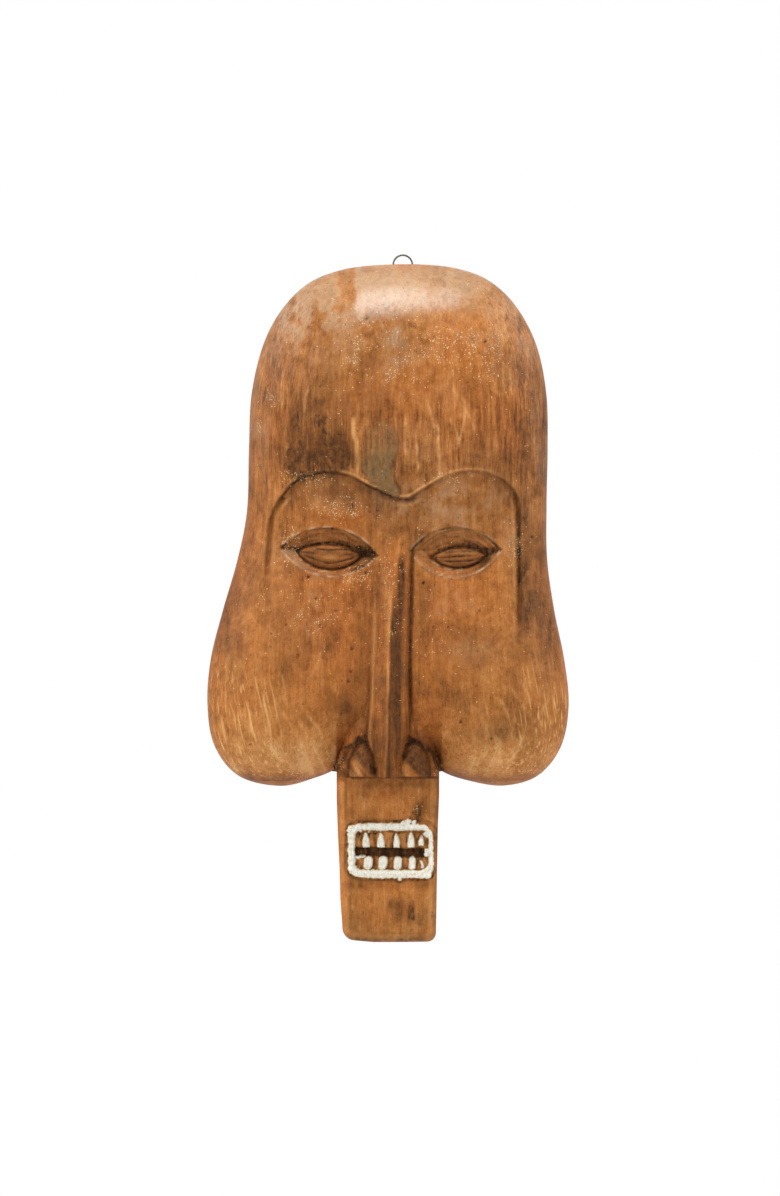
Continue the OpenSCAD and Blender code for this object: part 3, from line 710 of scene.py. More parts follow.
def mark_mouth(x, z, on_chin, mark):
    """Dark lines just outside the strokes of paint, soiling with painted shade at their raised edges, and
    knife marks between the teeth.
    """
    painted = ring_field(x, z)
    for i in range(5):
        for maker in (upper_tooth, lower_tooth):
            painted = np.maximum(painted, maker(i)[0](x, z))
    broken = patchy(x, z, 2.4, 2.4, 441, -0.7, 0.5)
    mark["grime_and_shade"] += on_chin * 0.9 * bump(painted, -0.75, 0.5) * broken
    within = rect_distance(x, z, -22, 25, 47, 72, 3) > 0
    mark["grime_and_shade"] += within * 0.55 * patchy(x + 0.3 * z, z, 1.5, 6, 443, 0.0, 0.6)
    mark["cuts_and_highlights"] += within * 0.35 * patchy(x - 0.3 * z, z, 1.8, 5, 445, 0.0, 0.6)


def paint_marks(x, z, height, mark, places):
    """Stains, worn places, painted shade and highlights, and the tone of the wood, worked out from where
    things are on the face.
    """
    d_head, s = places["d_head"], places["s"]
    on_head = fade(z, 104, 112) * (d_head > 0)
    on_chin = (z < 106.5) * (np.abs(x) < 36)
    left_half = x < 3
    wx, wz = x + 9 * noise(x, z, 22, 30, 351), z + 9 * noise(x, z, 22, 30, 352)
    wide = fbm(wx, wz, 40, 56, 301)
    mottle = fbm(wx, wz, 13, 16, 303)
    small = fbm(x + 1.5 * noise(x, z, 5, 5, 353), z, 4.2, 5.6, 305, 3)
    streak = fbm(x + 2.5 * noise(x, z, 30, 60, 311), z, 3.2, 46, 307, 3)
    fine = fbm(x, z, 1.6, 20, 309, 2)
    patches = 0.5 * small + 0.5 * mottle
    rag = 0.35 + 0.65 * fade(0.3 * small + 0.7 * fbm(x, z, 2.6, 20, 341), -0.3, 0.3)
    blot = fade(0.6 * mottle + 0.4 * small, -0.32, 0.3)
    orange = add_up(x, z, ORANGE)

    # grain shows most on the sides of the head and over the brows
    grainy = 0.25 + 0.75 * fade(np.abs(x - 6), 46, 78) * fade(z, 250, 330) + 0.6 * bump(z, 322, 26) * (s < 0)
    grainy = np.clip(grainy, 0, 1)
    mark["grainy"] += grainy
    tone = -0.01 + 0.36 * wide + 0.32 * mottle + 0.15 * small + (0.46 * streak + 0.26 * fine) * grainy
    tone += add_up(x, z, SHADES) + 0.12 * bump(z, 392, 24)
    tone -= 0.2 * bump(z, 325, 30) * (s < 0) + 0.1 * bump(z, 292, 20) * (s > 0)
    # the rounded edges are painted darker: painted shade where they turn away from the light, more on the
    # left; patchy grey on them is rubbed wear
    edge = 1 - fade(d_head, 0, 20)
    tone -= 0.3 * edge * (z > 104) * np.where(left_half, 1, 0.75)
    rubbed = edge * patchy(x, z, 4, 24, 321, -0.5, 0.6)
    mark["grey"] += 0.45 * rubbed * fade(z, 240, 330) * np.where(left_half, 1, 0.6)
    # lobes: pale yellowish streaks worn by hands
    lobe = fade(156 - z, 0, 44) * on_head * (np.abs(x) > 34)
    outward = np.sign(x)
    sweep = fbm(x * 0.85 - z * 0.4 * outward, z * 0.5 + x * 0.4 * outward, 4, 24, 323)
    tone += 0.29 * lobe
    tone += 0.34 * lobe * (0.7 + 1.6 * fade(sweep, 0.0, 0.45)) * np.where(left_half, 1.25, 0.75)
    mark["worn"] += on_head * fade(200 - z, 0, 50) * fade(np.abs(x), 48, 84)
    chin_tone = 0.14 + 0.2 * wide + 0.36 * mottle + 0.26 * small + 0.14 * streak + 0.1 * fine
    chin_tone -= 0.14 * (spot(x, z, 0, 84, 30, 6) + spot(x, z, 0, 38, 30, 4))
    tone = np.where(on_chin, chin_tone, tone)
    tone += 0.06 * places["ball"] - 0.3 * places["nose"] * fade(262 - z, 0, 20)
    tone += (s > 2) * (0.12 * (x > 12) * fade(z, 262, 276) - 0.03 * left_half * fade(z, 240, 262))
    tone += 0.16 * orange * (small > -0.4) - 0.12 * spot(x, z, -44, 214, 40, 40)
    hue = 0.34 + 0.4 * wide + 0.35 * mottle + 0.25 * small + 0.7 * orange
    hue += 0.35 * on_chin * fade(-x, 26.5, 29)
    hue += 0.3 * spot(x, z, -40, 200, 44, 50) + 0.18 * spot(x, z, 44, 205, 36, 44)

    mark["stain"] += 1.7 * add_up(x, z, SOOT, rag) + 0.26 * fade(patches, 0.12, 0.42) * (1 - lobe)
    mark["grey"] += add_up(x, z, WORN, blot)
    # a painted highlight on the crown
    mark["pale"] += 0.35 * spot(x, z, 12, 421, 38, 11) * blot
    # the polished patch on the crown ends sharply on its left; it is also painted paler, a painted highlight
    # over the real gloss
    patch = fade(x + 22 + 2 * mottle, -1.5, 1.5) * fade(50 - x, -22, 22)
    patch = patch * fade(z - 404 - 0.12 * x - 5 * mottle, -4, 4) * fade(435 - z, -5, 3)
    mark["grey"] += 0.45 * patch + 0.4 * on_head * fade(z, 398, 434) * (0.6 + 0.4 * blot)
    mark["gloss"] += 0.03 * on_head + 0.3 * spot(x, z, -52, 408, 14, 14) * blot
    mark["gloss"] += patch * (0.75 + 0.35 * blot) * (0.62 + 0.5 * fade(8 - x, -10, 14))
    mark["stain"] += on_chin * 1.6 * add_up(x, z, CHIN_SMUDGES, rag)
    # the foot of the chin is painted dark: painted shade where it turns under
    mark["stain"] += on_chin * 0.9 * (1 - fade(z, 0.5, 7)) * (0.4 + 0.6 * blot)
    mark["stain"] += on_chin * 0.5 * fade(x, 26, 30) * fade(streak, -0.5, 0.3)
    mark["grime_and_shade"] += on_chin * 0.4 * bump(x, -29.2 + 0.012 * z, 0.7) * patchy(x, z, 4, 14, 447, -0.6, 0.4)
    mark_mouth(x, z, on_chin, mark)
    for cut in SCRATCHES:
        mark["cuts_and_highlights"] += scratch(x, z, *cut)
    # flecks of old white paint: the mark says how thickly they lie
    mark["speck"] += 0.17 * on_head + 1.25 * add_up(x, z, FLECKS, fade(small + 0.5 * mottle, -0.6, 0.3))

    for hx, hz, radius in WORM_HOLES:
        hole = fade(radius + 0.5 - np.hypot(x - hx, z - hz), 0, 0.8)
        height = height - 0.9 * hole
        mark["grime_and_shade"] += hole
    filler, raised = filler_patch(x, z, patches, mark)
    return height + raised, np.clip(tone, -1, 1), np.clip(hue, 0, 1), filler


# ---- the wood block
RECESS_HALF, RECESS_Z, RECESS_D = 7.85, 408.0, 3.35
WALL, RIM_STEP = 17.5, 4.0
CHIN_TOP, CHIN_LIFT = 104.0, 0.5
# z, and how far in from its rim the hollow reaches full depth there
REACH = [(135, 20), (165, 34), (200, 56), (300, 64), (360, 50), (402, 34)]


def hollow_outline():
    """The rim of the hollow: each outline point moved along its rib toward the middle."""
    rows = closed_curve(OUTLINE, 8, -0.5)
    along = np.stack([MIDDLE_X - rows[:, 0], rows[:, 2] - rows[:, 1]], 1)
    t = rows[:, 3] / np.hypot(along[:, 0], along[:, 1])
    return rows[:, :2] + t[:, None] * along + (2, 1.5)


HOLLOW = hollow_outline()


def hollow_edge(x, z):
    return distance(x, z, HOLLOW)


def back_depth(x, z):
    """How far the back is hollowed out, at the recess of the hanger too."""
    d = hollow_edge(x, z)
    q = np.clip(d / lookup(z, REACH), 0, 1)
    full = front_plane(x, z) - WALL
    out = np.where(d > 0, RIM_STEP + (full - RIM_STEP) * np.sqrt(1 - (1 - q) ** 2), 0)
    # gouge strokes down the bowl
    stroke = np.abs(noise(x + 3 * noise(x, z, 20, 30, 701), z, 8, 34, 703))
    stroke += 0.5 * np.abs(noise(x, z, 5, 15, 705))
    out -= 1.3 * (1 - stroke) * fade(d, 2, 12)
    recess = (np.abs(x - RING_X) < RECESS_HALF) & (z > RECESS_Z)
    return np.where(recess, RECESS_D, out)


def all_marks(count, **given):
    """A value at each of count points for everything that the wood material reads, 0 if not given."""
    names = (*MARKS, "tone", "hue", "filler", "back")
    return {k: np.zeros(count) + given.get(k, 0) for k in names}


def front_sheet():
    """Points, faces and marks of the carved front, finest round the eyes, brows and mouth."""
    xs = grid_lines((-121, -82, 1.5), (-82, 88, 0.85), (88, 121, 1.5))
    zs = grid_lines(
        (-1.6, 34, 1.3), (34, 82, 0.75), (82, 97, 1.1), (97, 140, 0.85), (140, 230, 1.3),
        (230, 240, 0.9), (240, 266, 0.6), (266, 308, 0.78), (308, 340, 1.15), (340, 442, 1.6),
    )
    x, z, cells, rim, used = trimmed(xs, zs, outer_edge, -0.35)
    height, mark, places = carve(x, z)
    height, tone, hue, filler = paint_marks(x, z, height, mark, places)
    height = np.where(rim, np.maximum(height, SIDE), height)
    points = np.stack([x[used], -height[used], z[used]], 1)
    shown = {k: np.clip(v[used], 0, 1) for k, v in mark.items()}
    data = all_marks(len(points), tone=tone[used], hue=hue[used], filler=filler[used], **shown)
    return points, quads(cells, numbered(used), False), data


def side_wall(front, faces):
    """Points, faces and marks of the wall from the edge of the front down to the back."""
    levels = 6
    loose = single_edges(faces)
    ends, order = np.unique(loose, return_inverse=True)
    a, b = order.reshape(loose.shape).T
    top = front[ends]
    notch = (np.abs(top[:, 0] - RING_X) < RECESS_HALF) & (top[:, 2] > RECESS_Z)
    foot = np.where(notch, -RECESS_D, -np.where(top[:, 2] < CHIN_TOP, CHIN_LIFT, 0.0))
    points, walls = [], []
    previous = ends
    for k in range(levels):
        t = (k + 1) / levels
        points.append(np.stack([top[:, 0], top[:, 1] * (1 - t) + foot * t, top[:, 2]], 1))
        now = len(front) + k * len(ends) + np.arange(len(ends))
        walls.append(np.stack([previous[b], previous[a], now[a], now[b]], 1))
        previous = now
    side = np.concatenate(points)
    tone = -0.25 + 0.5 * fbm(side[:, 0] + side[:, 1], side[:, 2], 5, 50, 801)
    stain = 0.35 * fade(side[:, 1], -5, 0)
    return side, np.concatenate(walls), all_marks(len(side), tone=tone, hue=0.4, stain=stain, grainy=0.8)


def back_sheet(first):
    """Points, faces and marks of the back: flat land, hollow and the hanger's recess."""
    e = 0.03
    left, right = RING_X - RECESS_HALF, RING_X + RECESS_HALF
    xs = grid_lines(
        (-121, left - e, 3.0), (left - e, left + e, 2 * e), (left + e, right - e, 2.6),
        (right - e, right + e, 2 * e), (right + e, 121, 3.0),
    )
    zs = grid_lines((-1.6, RECESS_Z - e, 3.0), (RECESS_Z - e, RECESS_Z + e, 2 * e), (RECESS_Z + e, 442, 2.6))
    x, z, cells, rim, used = trimmed(xs, zs, outer_edge, -1.2)
    near = (np.abs(hollow_edge(x, z)) < 1.3) & used & ~rim
    x, z = snapped(x, z, hollow_edge, near)
    depth = np.where(near, 0, back_depth(x, z))
    depth = np.where((z < CHIN_TOP) & (depth <= 0), CHIN_LIFT, depth)
    x, z, depth = x[used], z[used], depth[used]
    tone = 0.15 + 0.45 * fbm(x, z, 4, 60, 811) + 0.2 * fbm(x, z, 20, 30, 813)
    stain = 0.33 * bump(hollow_edge(x, z), 1.5, 3.0) + 0.2 * fade(depth, 20, 44)
    data = all_marks(len(x), tone=tone, hue=0.25, back=1, stain=stain, grainy=0.8)
    return np.stack([x, -depth, z], 1), quads(cells, numbered(used, first), True), data


def build_wood():
    front, front_faces, front_data = front_sheet()
    side, side_faces, side_data = side_wall(front, front_faces)
    back, back_faces, back_data = back_sheet(len(front) + len(side))
    verts = np.concatenate([front, side, back])
    obj = make_mesh("carved_wood", to_row(verts), np.concatenate([front_faces, side_faces, back_faces]))
    for k in front_data:
        add_attribute(obj, k, np.concatenate([front_data[k], side_data[k], back_data[k]]))
    return obj


# ---- white paint
RING_PAINT, TOOTH_PAINT, SUNK = 1.5, 1.15, 0.35
# round blobs on the ring: x, z, radius
BLOBS = [
    (12.5, 78.2, 2.6), (16.0, 77.6, 2.2), (9.6, 77.6, 1.7), (6.8, 41.3, 1.6), (24.8, 44.0, 3.0),
    (-24.0, 73.0, 3.0), (-18.5, 72.6, 1.6), (24.5, 70.5, 2.6),
]
# middle, width, foot, point, lean
UPPER_TEETH = [
    (-14.6, 5.4, 61.2, 71.4, -0.6), (-5.0, 5.6, 61.2, 71.2, -0.5), (5.0, 4.6, 61.2, 70.9, -0.4),
    (14.6, 5.4, 61.4, 71.6, -0.7), (20.8, 4.2, 62.6, 69.6, 0.4),
]
# middle, width, foot, top
LOWER_TEETH = [
    (-13.4, 6.2, 47.0, 56.2), (-4.0, 6.0, 46.8, 56.4), (5.5, 5.6, 46.8, 56.2), (15.2, 5.0, 46.6, 56.0),
    (20.9, 2.2, 47.8, 53.4),
]


def wood_depth(x, z):
    return carve(x, z)[0]


def ring_field(x, z):
    """Positive where the painted ring is, growing toward the middle of its stroke."""
    wob = 0.75 * fbm(x, z, 4, 4, 901, 3) + 0.35 * noise(x, z, 1.1, 1.1, 903)
    outer = rect_distance(x, z, MOUTH_X0 + 0.4, MOUTH_X1 - 0.4, MOUTH_Z0 + 0.3, MOUTH_Z1 - 0.6, 7.5)
    # the ring is higher on the left than on the right, and its corners droop
    outer -= 1.6 * fade(x, 14, 28) * fade(z, 66, 78) + 1.0 * fade(-x, 12, 26) * fade(z, 70, 77)
    outer -= 0.8 * fade(-x, 10, 24) * fade(-z, -47, -41)
    band = np.minimum(outer, -rect_distance(x, z, -21.6, 25.2, 47.4, 72.4, 4.5))
    for bx, bz, radius in BLOBS:
        band = np.maximum(band, radius - np.hypot(x - bx, z - bz))
    # the block of paint at the right end of the slot, and the smears at its left end
    block = rect_distance(x, z, 22.4, 26.6, 55.4, 61.6, 1.0)
    smear = 0.9 - np.abs((z - 55.4) - 0.12 * (x + 20)) - 0.4 * np.maximum(np.abs(x + 18.4) - 2.4, 0)
    smear2 = 0.55 - np.hypot((x + 12.8) / 5.0, z - 71.6)
    return np.maximum(np.maximum(band, block), np.maximum(smear, smear2)) + wob


def upper_tooth(i):
    """The field of a pointed upper tooth, and the box round it."""
    cx, w, z0, z1, lean = UPPER_TEETH[i]

    def field(x, z):
        t = np.clip((z - z0) / (z1 - z0), -0.3, 1.3)
        half = (w / 2) * np.sqrt(np.clip(1 - np.clip(t, 0, 1) ** 1.7, 0, None))
        half = half * np.where(t < 0.25, 0.9 + 0.4 * t, 1)
        mid = cx + lean * t + 0.25 * noise(x * 0, z, 3, 3, 921 + i)
        f = np.minimum(half - np.abs(x - mid), np.minimum(z - z0, z1 - z))
        if i == 4:
            f = np.minimum(f, 0.9 + 0.9 * noise(x, z, 1.6, 2.2, 955))
        return f + 0.22 * noise(x, z, 1.2, 1.6, 931 + i)
    return field, (cx - 5, cx + 5, z0 - 1, z1 + 1)


def lower_tooth(i):
    """The field of a rounded lower tooth, and the box round it."""
    cx, w, z0, z1 = LOWER_TEETH[i]
    r = w / 2
    lean = -1.3 if i == 4 else 0.25

    def field(x, z):
        mid = cx + lean * (z - 52) / 5 + 0.25 * noise(x * 0, z, 3, 3, 961 + i)
        past_ends = np.maximum(np.maximum(z - (z1 - r), z0 + r - z), 0)
        f = np.minimum(r - np.hypot(x - mid, past_ends), z - z0)
        return f + 0.24 * noise(x, z, 1.2, 1.8, 971 + i)
    return field, (cx - 5, cx + 5, z0 - 1, z1 + 1)


def stroke(name, box, step, field, thick, seed):
    """A raised stroke of paint where the field is positive, with the lines of the brush."""
    def top(x, z):
        body = thick * (1 - np.exp(-np.clip(field(x, z), 0, None) / 0.55))
        comb = 0.2 * noise(x + 0.3 * z, z, 0.9, 5, seed) + 0.16 * noise(x, z - 0.2 * x, 5, 0.9, seed + 3)
        lump = 0.42 * noise(x, z, 2.2, 2.2, seed + 5)
        return wood_depth(x, z) + body * (1 + comb + lump) + 0.05

    piece, x, z = relief(name, box, step, field, top, lambda x, z: wood_depth(x, z) - SUNK)
    add_attribute(piece, "thick", np.tile(np.clip(field(x, z) / 1.1, 0, 1), 2))
    return piece


def build_paint():
    step = 0.36
    ring = stroke("mouth_paint", (-30, 32, 38.5, 81.5), step, ring_field, RING_PAINT, 911)
    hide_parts("lip_paint")
    made = [ring]
    for kind, maker, seed in (("upper", upper_tooth, 981), ("lower", lower_tooth, 986)):
        for i in range(5):
            field, box = maker(i)
            tooth = stroke(f"{kind}_tooth_{i + 1}_paint", box, step * 0.75, field, TOOTH_PAINT, seed + i)
            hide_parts(f"{kind}_tooth_{i + 1}")
            made.append(tooth)
    return made


# ---- hanger
BAR_Z, BAR_Y, RING_TOP = 435.0, -1.8, 440.0
RING_R, WIRE_R = 6.25, 0.591
ROLL_R = 0.75


def bent_wire(name, path, radius, sides):
    """A wire along a path in a plane parallel to the wall, with slightly domed ends."""
    n = len(path)
    tangent = np.roll(path, -1, 0) - np.roll(path, 1, 0)
    tangent[0], tangent[-1] = path[1] - path[0], path[-1] - path[-2]
    tangent /= np.linalg.norm(tangent, axis=1)[:, None]
    side = np.cross(tangent, (0, 1.0, 0))
    side /= np.linalg.norm(side, axis=1)[:, None]
    up = np.cross(side, tangent)
    a = np.linspace(0, 2 * math.pi, sides, endpoint=False)[None, :, None]
    points = path[:, None] + radius * (np.cos(a) * side[:, None] + np.sin(a) * up[:, None])
    dome = 0.15
    ends = [path[:1] - dome * tangent[:1], path[-1:] + dome * tangent[-1:]]
    points = np.concatenate([points.reshape(-1, 3), *ends])
    faces = [tuple(f) for f in strip_faces(n, sides, wrap=True)]
    last = (n - 1) * sides
    for j in range(sides):
        m = (j + 1) % sides
        faces.append((n * sides, m, j))
        faces.append((n * sides + 1, last + j, last + m))
    return make_mesh(name, to_row(points), faces)


def build_ring():
    """The hanging ring. Its wire starts and ends at a butt joint in the middle of the straight bar."""
    corner, gap = 1.4, 0.12
    half = np.concatenate([
        [(x, BAR_Z) for x in np.linspace(gap, RING_R - corner, 8)],
        arc(RING_R - corner, BAR_Z + corner, corner, -90, 0, 8),
        [(RING_R, z) for z in np.linspace(BAR_Z + corner, RING_TOP, 7)[1:]],
        arc(0, RING_TOP, RING_R, 0, 90, 24),
    ])
    loop = np.concatenate([half, half[-2::-1] * (-1, 1)])
    path = np.stack([loop[:, 0] + RING_X, np.full(len(loop), BAR_Y), loop[:, 1]], 1)
    ring = bent_wire("wire_ring", path, WIRE_R, 20)
    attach(ring, "ring")
    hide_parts("hanger_ring")
    return ring


def build_strap():
    """A strip of sheet metal, round at its foot, with its top rolled round the ring's bar."""
    thick, half, foot = 0.8, 3.5, 412.0
    mid = ROLL_R + thick / 2
    plate = 30  # points along the straight part
    straight = [(BAR_Y - mid, z) for z in np.linspace(foot, BAR_Z, plate)]
    line = np.concatenate([straight, arc(BAR_Y, BAR_Z, mid, 180, -128, 39)])
    t = np.gradient(line, axis=0)
    t /= np.linalg.norm(t, axis=1)[:, None]
    normal = np.stack([t[:, 1], -t[:, 0]], 1)
    wide = np.full(len(line), half)
    below = foot + half - line[:plate, 1]
    wide[:plate] = np.where(below > 0, np.sqrt(np.clip(half**2 - below**2, 0.3, None)), half)
    across = np.array([-1, -0.93, -0.6, -0.3, 0, 0.3, 0.6, 0.93, 1.0])
    soft = np.where(np.abs(across) == 1, 0.55, 1.0)

    def sheet(sign):
        off = sign * soft * thick / 2
        x = RING_X + wide[:, None] * across
        y, z = (line[:, None, k] + normal[:, None, k] * off for k in (0, 1))
        return np.stack([x, y, z], 2).reshape(-1, 3)

    strap = shell("strap_metal", sheet(1), sheet(-1), strip_faces(len(line), len(across), flip=True))
    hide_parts("hanger_strap")
    return strap


def build_screw():
    """Round head with one slot, and a threaded shank that tapers to its point."""
    cz, seat = 419.0, -2.55
    head_r, head_h, brim = 2.9, 1.3, 0.35
    slot_w, slot_d = 0.42, 0.62
    turn = math.radians(24)

    def inside(x, z):
        return head_r - np.hypot(x - RING_X, z - cz)

    def top(x, z):
        r = np.clip(np.hypot(x - RING_X, z - cz) / head_r, 0, 1)
        dome = brim + (head_h - brim) * np.sqrt(1 - r**2)
        u = -(x - RING_X) * math.sin(turn) + (z - cz) * math.cos(turn)
        return seat + dome - slot_d * fade(slot_w - np.abs(u), -0.06, 0.06)

    reach = head_r + 0.2
    box = (RING_X - reach, RING_X + reach, cz - reach, cz + reach)
    head, *_ = relief("screw_head", box, 0.11, inside, top, lambda x, z: seat - 0.02 + 0 * x, facing=1)
    # threaded shank: a spiral rib on a lathe-turned core
    rings, sides, length, core_r, pitch, rib_h = 130, 20, 13.2, 1.1, 1.15, 0.36
    depth = np.linspace(0, length, rings)[:, None]
    turned = np.arange(sides)[None] / sides
    phase = (depth / pitch - turned) % 1.0
    rib = rib_h * np.clip(1 - np.abs(phase - 0.5) * 4.2, 0, None)
    rib = rib * fade(depth, 2.5, 4.0) * (1 - fade(depth, 11.5, length))
    r = core_r * (1 - fade(depth, 9.4, length + 0.1)) + rib + 0.02
    a = 2 * math.pi * turned
    points = np.stack([RING_X + r * np.cos(a), seat - depth + 0 * r, cz + r * np.sin(a)], 2)
    shank = make_mesh("screw_shank", to_row(points.reshape(-1, 3)), strip_faces(rings, sides, True, True))
    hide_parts("hanger_screw")
    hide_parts("hanger_screw")
    return [head, shank]


# ---- materials
class Nodes:
    """Small helper that adds nodes to a material and links them."""

    def __init__(self, name):
        self.mat = bpy.data.materials.new(name)
        self.mat.use_nodes = True
        self.tree = self.mat.node_tree
        self.shader = self.tree.nodes["Principled BSDF"]
        self.coord = self.tree.nodes.new("ShaderNodeTexCoord").outputs["Object"]

    def add(self, kind, **values):
        node = self.tree.nodes.new("ShaderNode" + kind)
        for key, value in values.items():
            setattr(node, key, value)
        return node

    def put(self, socket, value):
        if hasattr(value, "is_output"):
            self.tree.links.new(value, socket)
        else:
            socket.default_value = value

    def set(self, name, value):
        self.put(self.shader.inputs[name], value)

    def attribute(self, name):
        return self.add("Attribute", attribute_name=name).outputs["Fac"]

    def math(self, op, a, b, clamp=False):
        node = self.add("Math", operation=op, use_clamp=clamp)
        self.put(node.inputs[0], a)
        self.put(node.inputs[1], b)
        return node.outputs[0]

    def times(self, a, b, clamp=False):
        return self.math("MULTIPLY", a, b, clamp)

    def plus(self, a, b, clamp=False):
        return self.math("ADD", a, b, clamp)

    def remap(self, value, low, high, to_low=0.0, to_high=1.0):
        node = self.add("MapRange")
        for socket, v in zip(node.inputs, (value, low, high, to_low, to_high)):
            self.put(socket, v)
        return node.outputs[0]

    def mix(self, fac, a, b):
        node = self.add("Mix", data_type="RGBA")
        self.put(node.inputs["Factor"], fac)
        colours = [s for s in node.inputs if s.type == "RGBA"]
        self.put(colours[0], a)
        self.put(colours[1], b)
        return [s for s in node.outputs if s.type == "RGBA"][0]

    def stretched(self, sx, sy, sz, lean=0.0):
        """Coordinates turned by lean about the y axis and then scaled."""
        turned = self.add("Mapping")
        self.put(turned.inputs["Vector"], self.coord)
        turned.inputs["Rotation"].default_value = (0, lean, 0)
        node = self.add("Mapping")
        self.put(node.inputs["Vector"], turned.outputs[0])
        node.inputs["Scale"].default_value = (sx, sy, sz)
        return node.outputs[0]

    def noise(self, size, detail=4.0, rough=0.55, vector=None, twist=0.0):
        """Noise with features of about size millimetres."""
        node = self.add("TexNoise")
        self.put(node.inputs["Vector"], vector or self.coord)
        values = {"Scale": 1000 / size, "Detail": detail, "Roughness": rough, "Distortion": twist}
        for key, value in values.items():
            node.inputs[key].default_value = value
        return node.outputs["Fac"]

    def ramp(self, value, stops):
        node = self.add("ValToRGB")
        self.put(node.inputs[0], value)
        marks = node.color_ramp.elements
        while len(marks) < len(stops):
            marks.new(0.5)
        for mark, (place, colour) in zip(marks, stops):
            mark.position = place
            mark.color = (*colour, 1)
        return node.outputs["Color"]

    def bump(self, height, strength, distance, under=None):
        node = self.add("Bump")
        node.inputs["Strength"].default_value = strength
        node.inputs["Distance"].default_value = distance
        self.put(node.inputs["Height"], height)
        if under is not None:
            self.put(node.inputs["Normal"], under)
        return node.outputs["Normal"]


def wood_material():
    n = Nodes("stained carved wood")
    grain = n.noise(1.9, 5, 0.6, n.stretched(1, 1, 0.07), 0.3)
    fibre = n.noise(0.9, 4, 0.65, n.stretched(1, 1, 0.12))
    blotch = n.noise(8, 6, 0.62, twist=0.6)
    dapple = n.noise(2.6, 5, 0.65, n.stretched(1, 1, 0.7), 0.4)
    grit = n.noise(1.1, 3, 0.7)
    tone = n.remap(n.attribute("tone"), -1, 1)
    lined = n.remap(n.attribute("grainy"), 0.2, 0.9, 0.55, 1.25)
    for source, size in ((grain, 0.19), (fibre, 0.15)):
        tone = n.plus(tone, n.times(n.remap(source, 0.28, 0.72, -size, size), lined))
    for source, size in ((blotch, 0.16), (dapple, 0.05), (grit, 0.09)):
        tone = n.plus(tone, n.remap(source, 0.28, 0.72, -size, size))
    base = n.ramp(tone, [
        (0.0, (0.105, 0.04, 0.013)), (0.27, (0.24, 0.087, 0.023)), (0.5, (0.395, 0.149, 0.038)),
        (0.74, (0.545, 0.245, 0.074)), (1.0, (0.7, 0.405, 0.17)),
    ])
    redder = n.ramp(tone, [
        (0.0, (0.125, 0.036, 0.01)), (0.27, (0.28, 0.082, 0.018)), (0.5, (0.445, 0.142, 0.03)),
        (0.74, (0.59, 0.22, 0.058)), (1.0, (0.73, 0.355, 0.125)),
    ])
    colour = n.mix(n.remap(n.attribute("hue"), 0.15, 0.85), base, redder)
    rag = n.plus(n.times(grain, 0.4), n.times(dapple, 0.6))
    rag = n.remap(rag, 0.36, 0.62, 0.4, 1.25)

    def over(colour, name, tint, size):
        fac = n.times(n.times(n.attribute(name), rag), size, clamp=True)
        return n.mix(fac, colour, (*tint, 1))

    # these marks hold painted shade and painted highlights as well as the wood's own staining, soiling, wear
    # and cut marks
    colour = over(colour, "grey", (0.44, 0.295, 0.175), 0.72)
    colour = over(colour, "cuts_and_highlights", (0.83, 0.4, 0.14), 0.9)
    # thin scrapes on the worn lobes
    scrape = n.noise(2.2, 1, 0.5, n.stretched(1, 1, 0.06, 0.22))
    scrape = n.times(n.remap(scrape, 0.56, 0.72, 0, 0.75), n.attribute("worn"))
    colour = n.mix(scrape, colour, (0.8, 0.43, 0.155, 1))
    putty = n.ramp(dapple, [(0.3, (0.12, 0.072, 0.03)), (0.7, (0.27, 0.18, 0.082))])
    colour = n.mix(n.attribute("filler"), colour, putty)
    colour = over(colour, "stain", (0.078, 0.031, 0.011), 0.92)
    colour = over(colour, "grime_and_shade", (0.036, 0.017, 0.008), 0.95)
    colour = over(colour, "pale", (0.64, 0.45, 0.27), 0.8)
    raw = n.ramp(grain, [(0.3, (0.225, 0.12, 0.054)), (0.7, (0.39, 0.24, 0.122))])
    colour = n.mix(n.times(n.attribute("back"), 0.85), colour, raw)
    # open pores, and flecks of white where their mark is strong
    pores = n.remap(n.noise(1.3, 2, 0.5, n.stretched(1, 1, 0.6), 0.4), 0.66, 0.72, 0, 0.55)
    colour = n.mix(pores, colour, (0.06, 0.026, 0.011, 1))
    drops = n.add("TexVoronoi")
    n.put(drops.inputs["Vector"], n.coord)
    drops.inputs["Scale"].default_value = 1000 / 0.95
    share = n.remap(n.attribute("speck"), 0.1, 1, 0.96, 0.36)
    lucky = n.remap(n.math("SUBTRACT", drops.outputs["Color"], share), 0, 0.03)
    size = n.remap(n.noise(2, 2), 0.3, 0.7, 0.2, 0.46)
    round_drop = n.remap(n.math("SUBTRACT", size, drops.outputs["Distance"]), 0, 0.08)
    fleck = n.times(n.times(lucky, round_drop), 0.88)
    colour = n.mix(fleck, colour, (0.86, 0.7, 0.4, 1))
    n.set("Base Color", colour)
    rough = n.remap(dapple, 0.3, 0.7, 0.44, 0.6)
    rough = n.plus(rough, n.times(n.attribute("grime_and_shade"), 0.18))
    rough = n.plus(rough, n.times(n.attribute("back"), 0.22), clamp=True)
    n.set("Roughness", rough)
    n.set("Specular IOR Level", 0.08)
    n.set("Coat Weight", n.attribute("gloss"))
    n.set("Coat Roughness", 0.28)
    normal = n.bump(grain, 0.3, 0.0005)
    normal = n.bump(dapple, 0.14, 0.0007, normal)
    normal = n.bump(blotch, 0.25, 0.0012, normal)
    n.set("Normal", normal)
    return n.mat


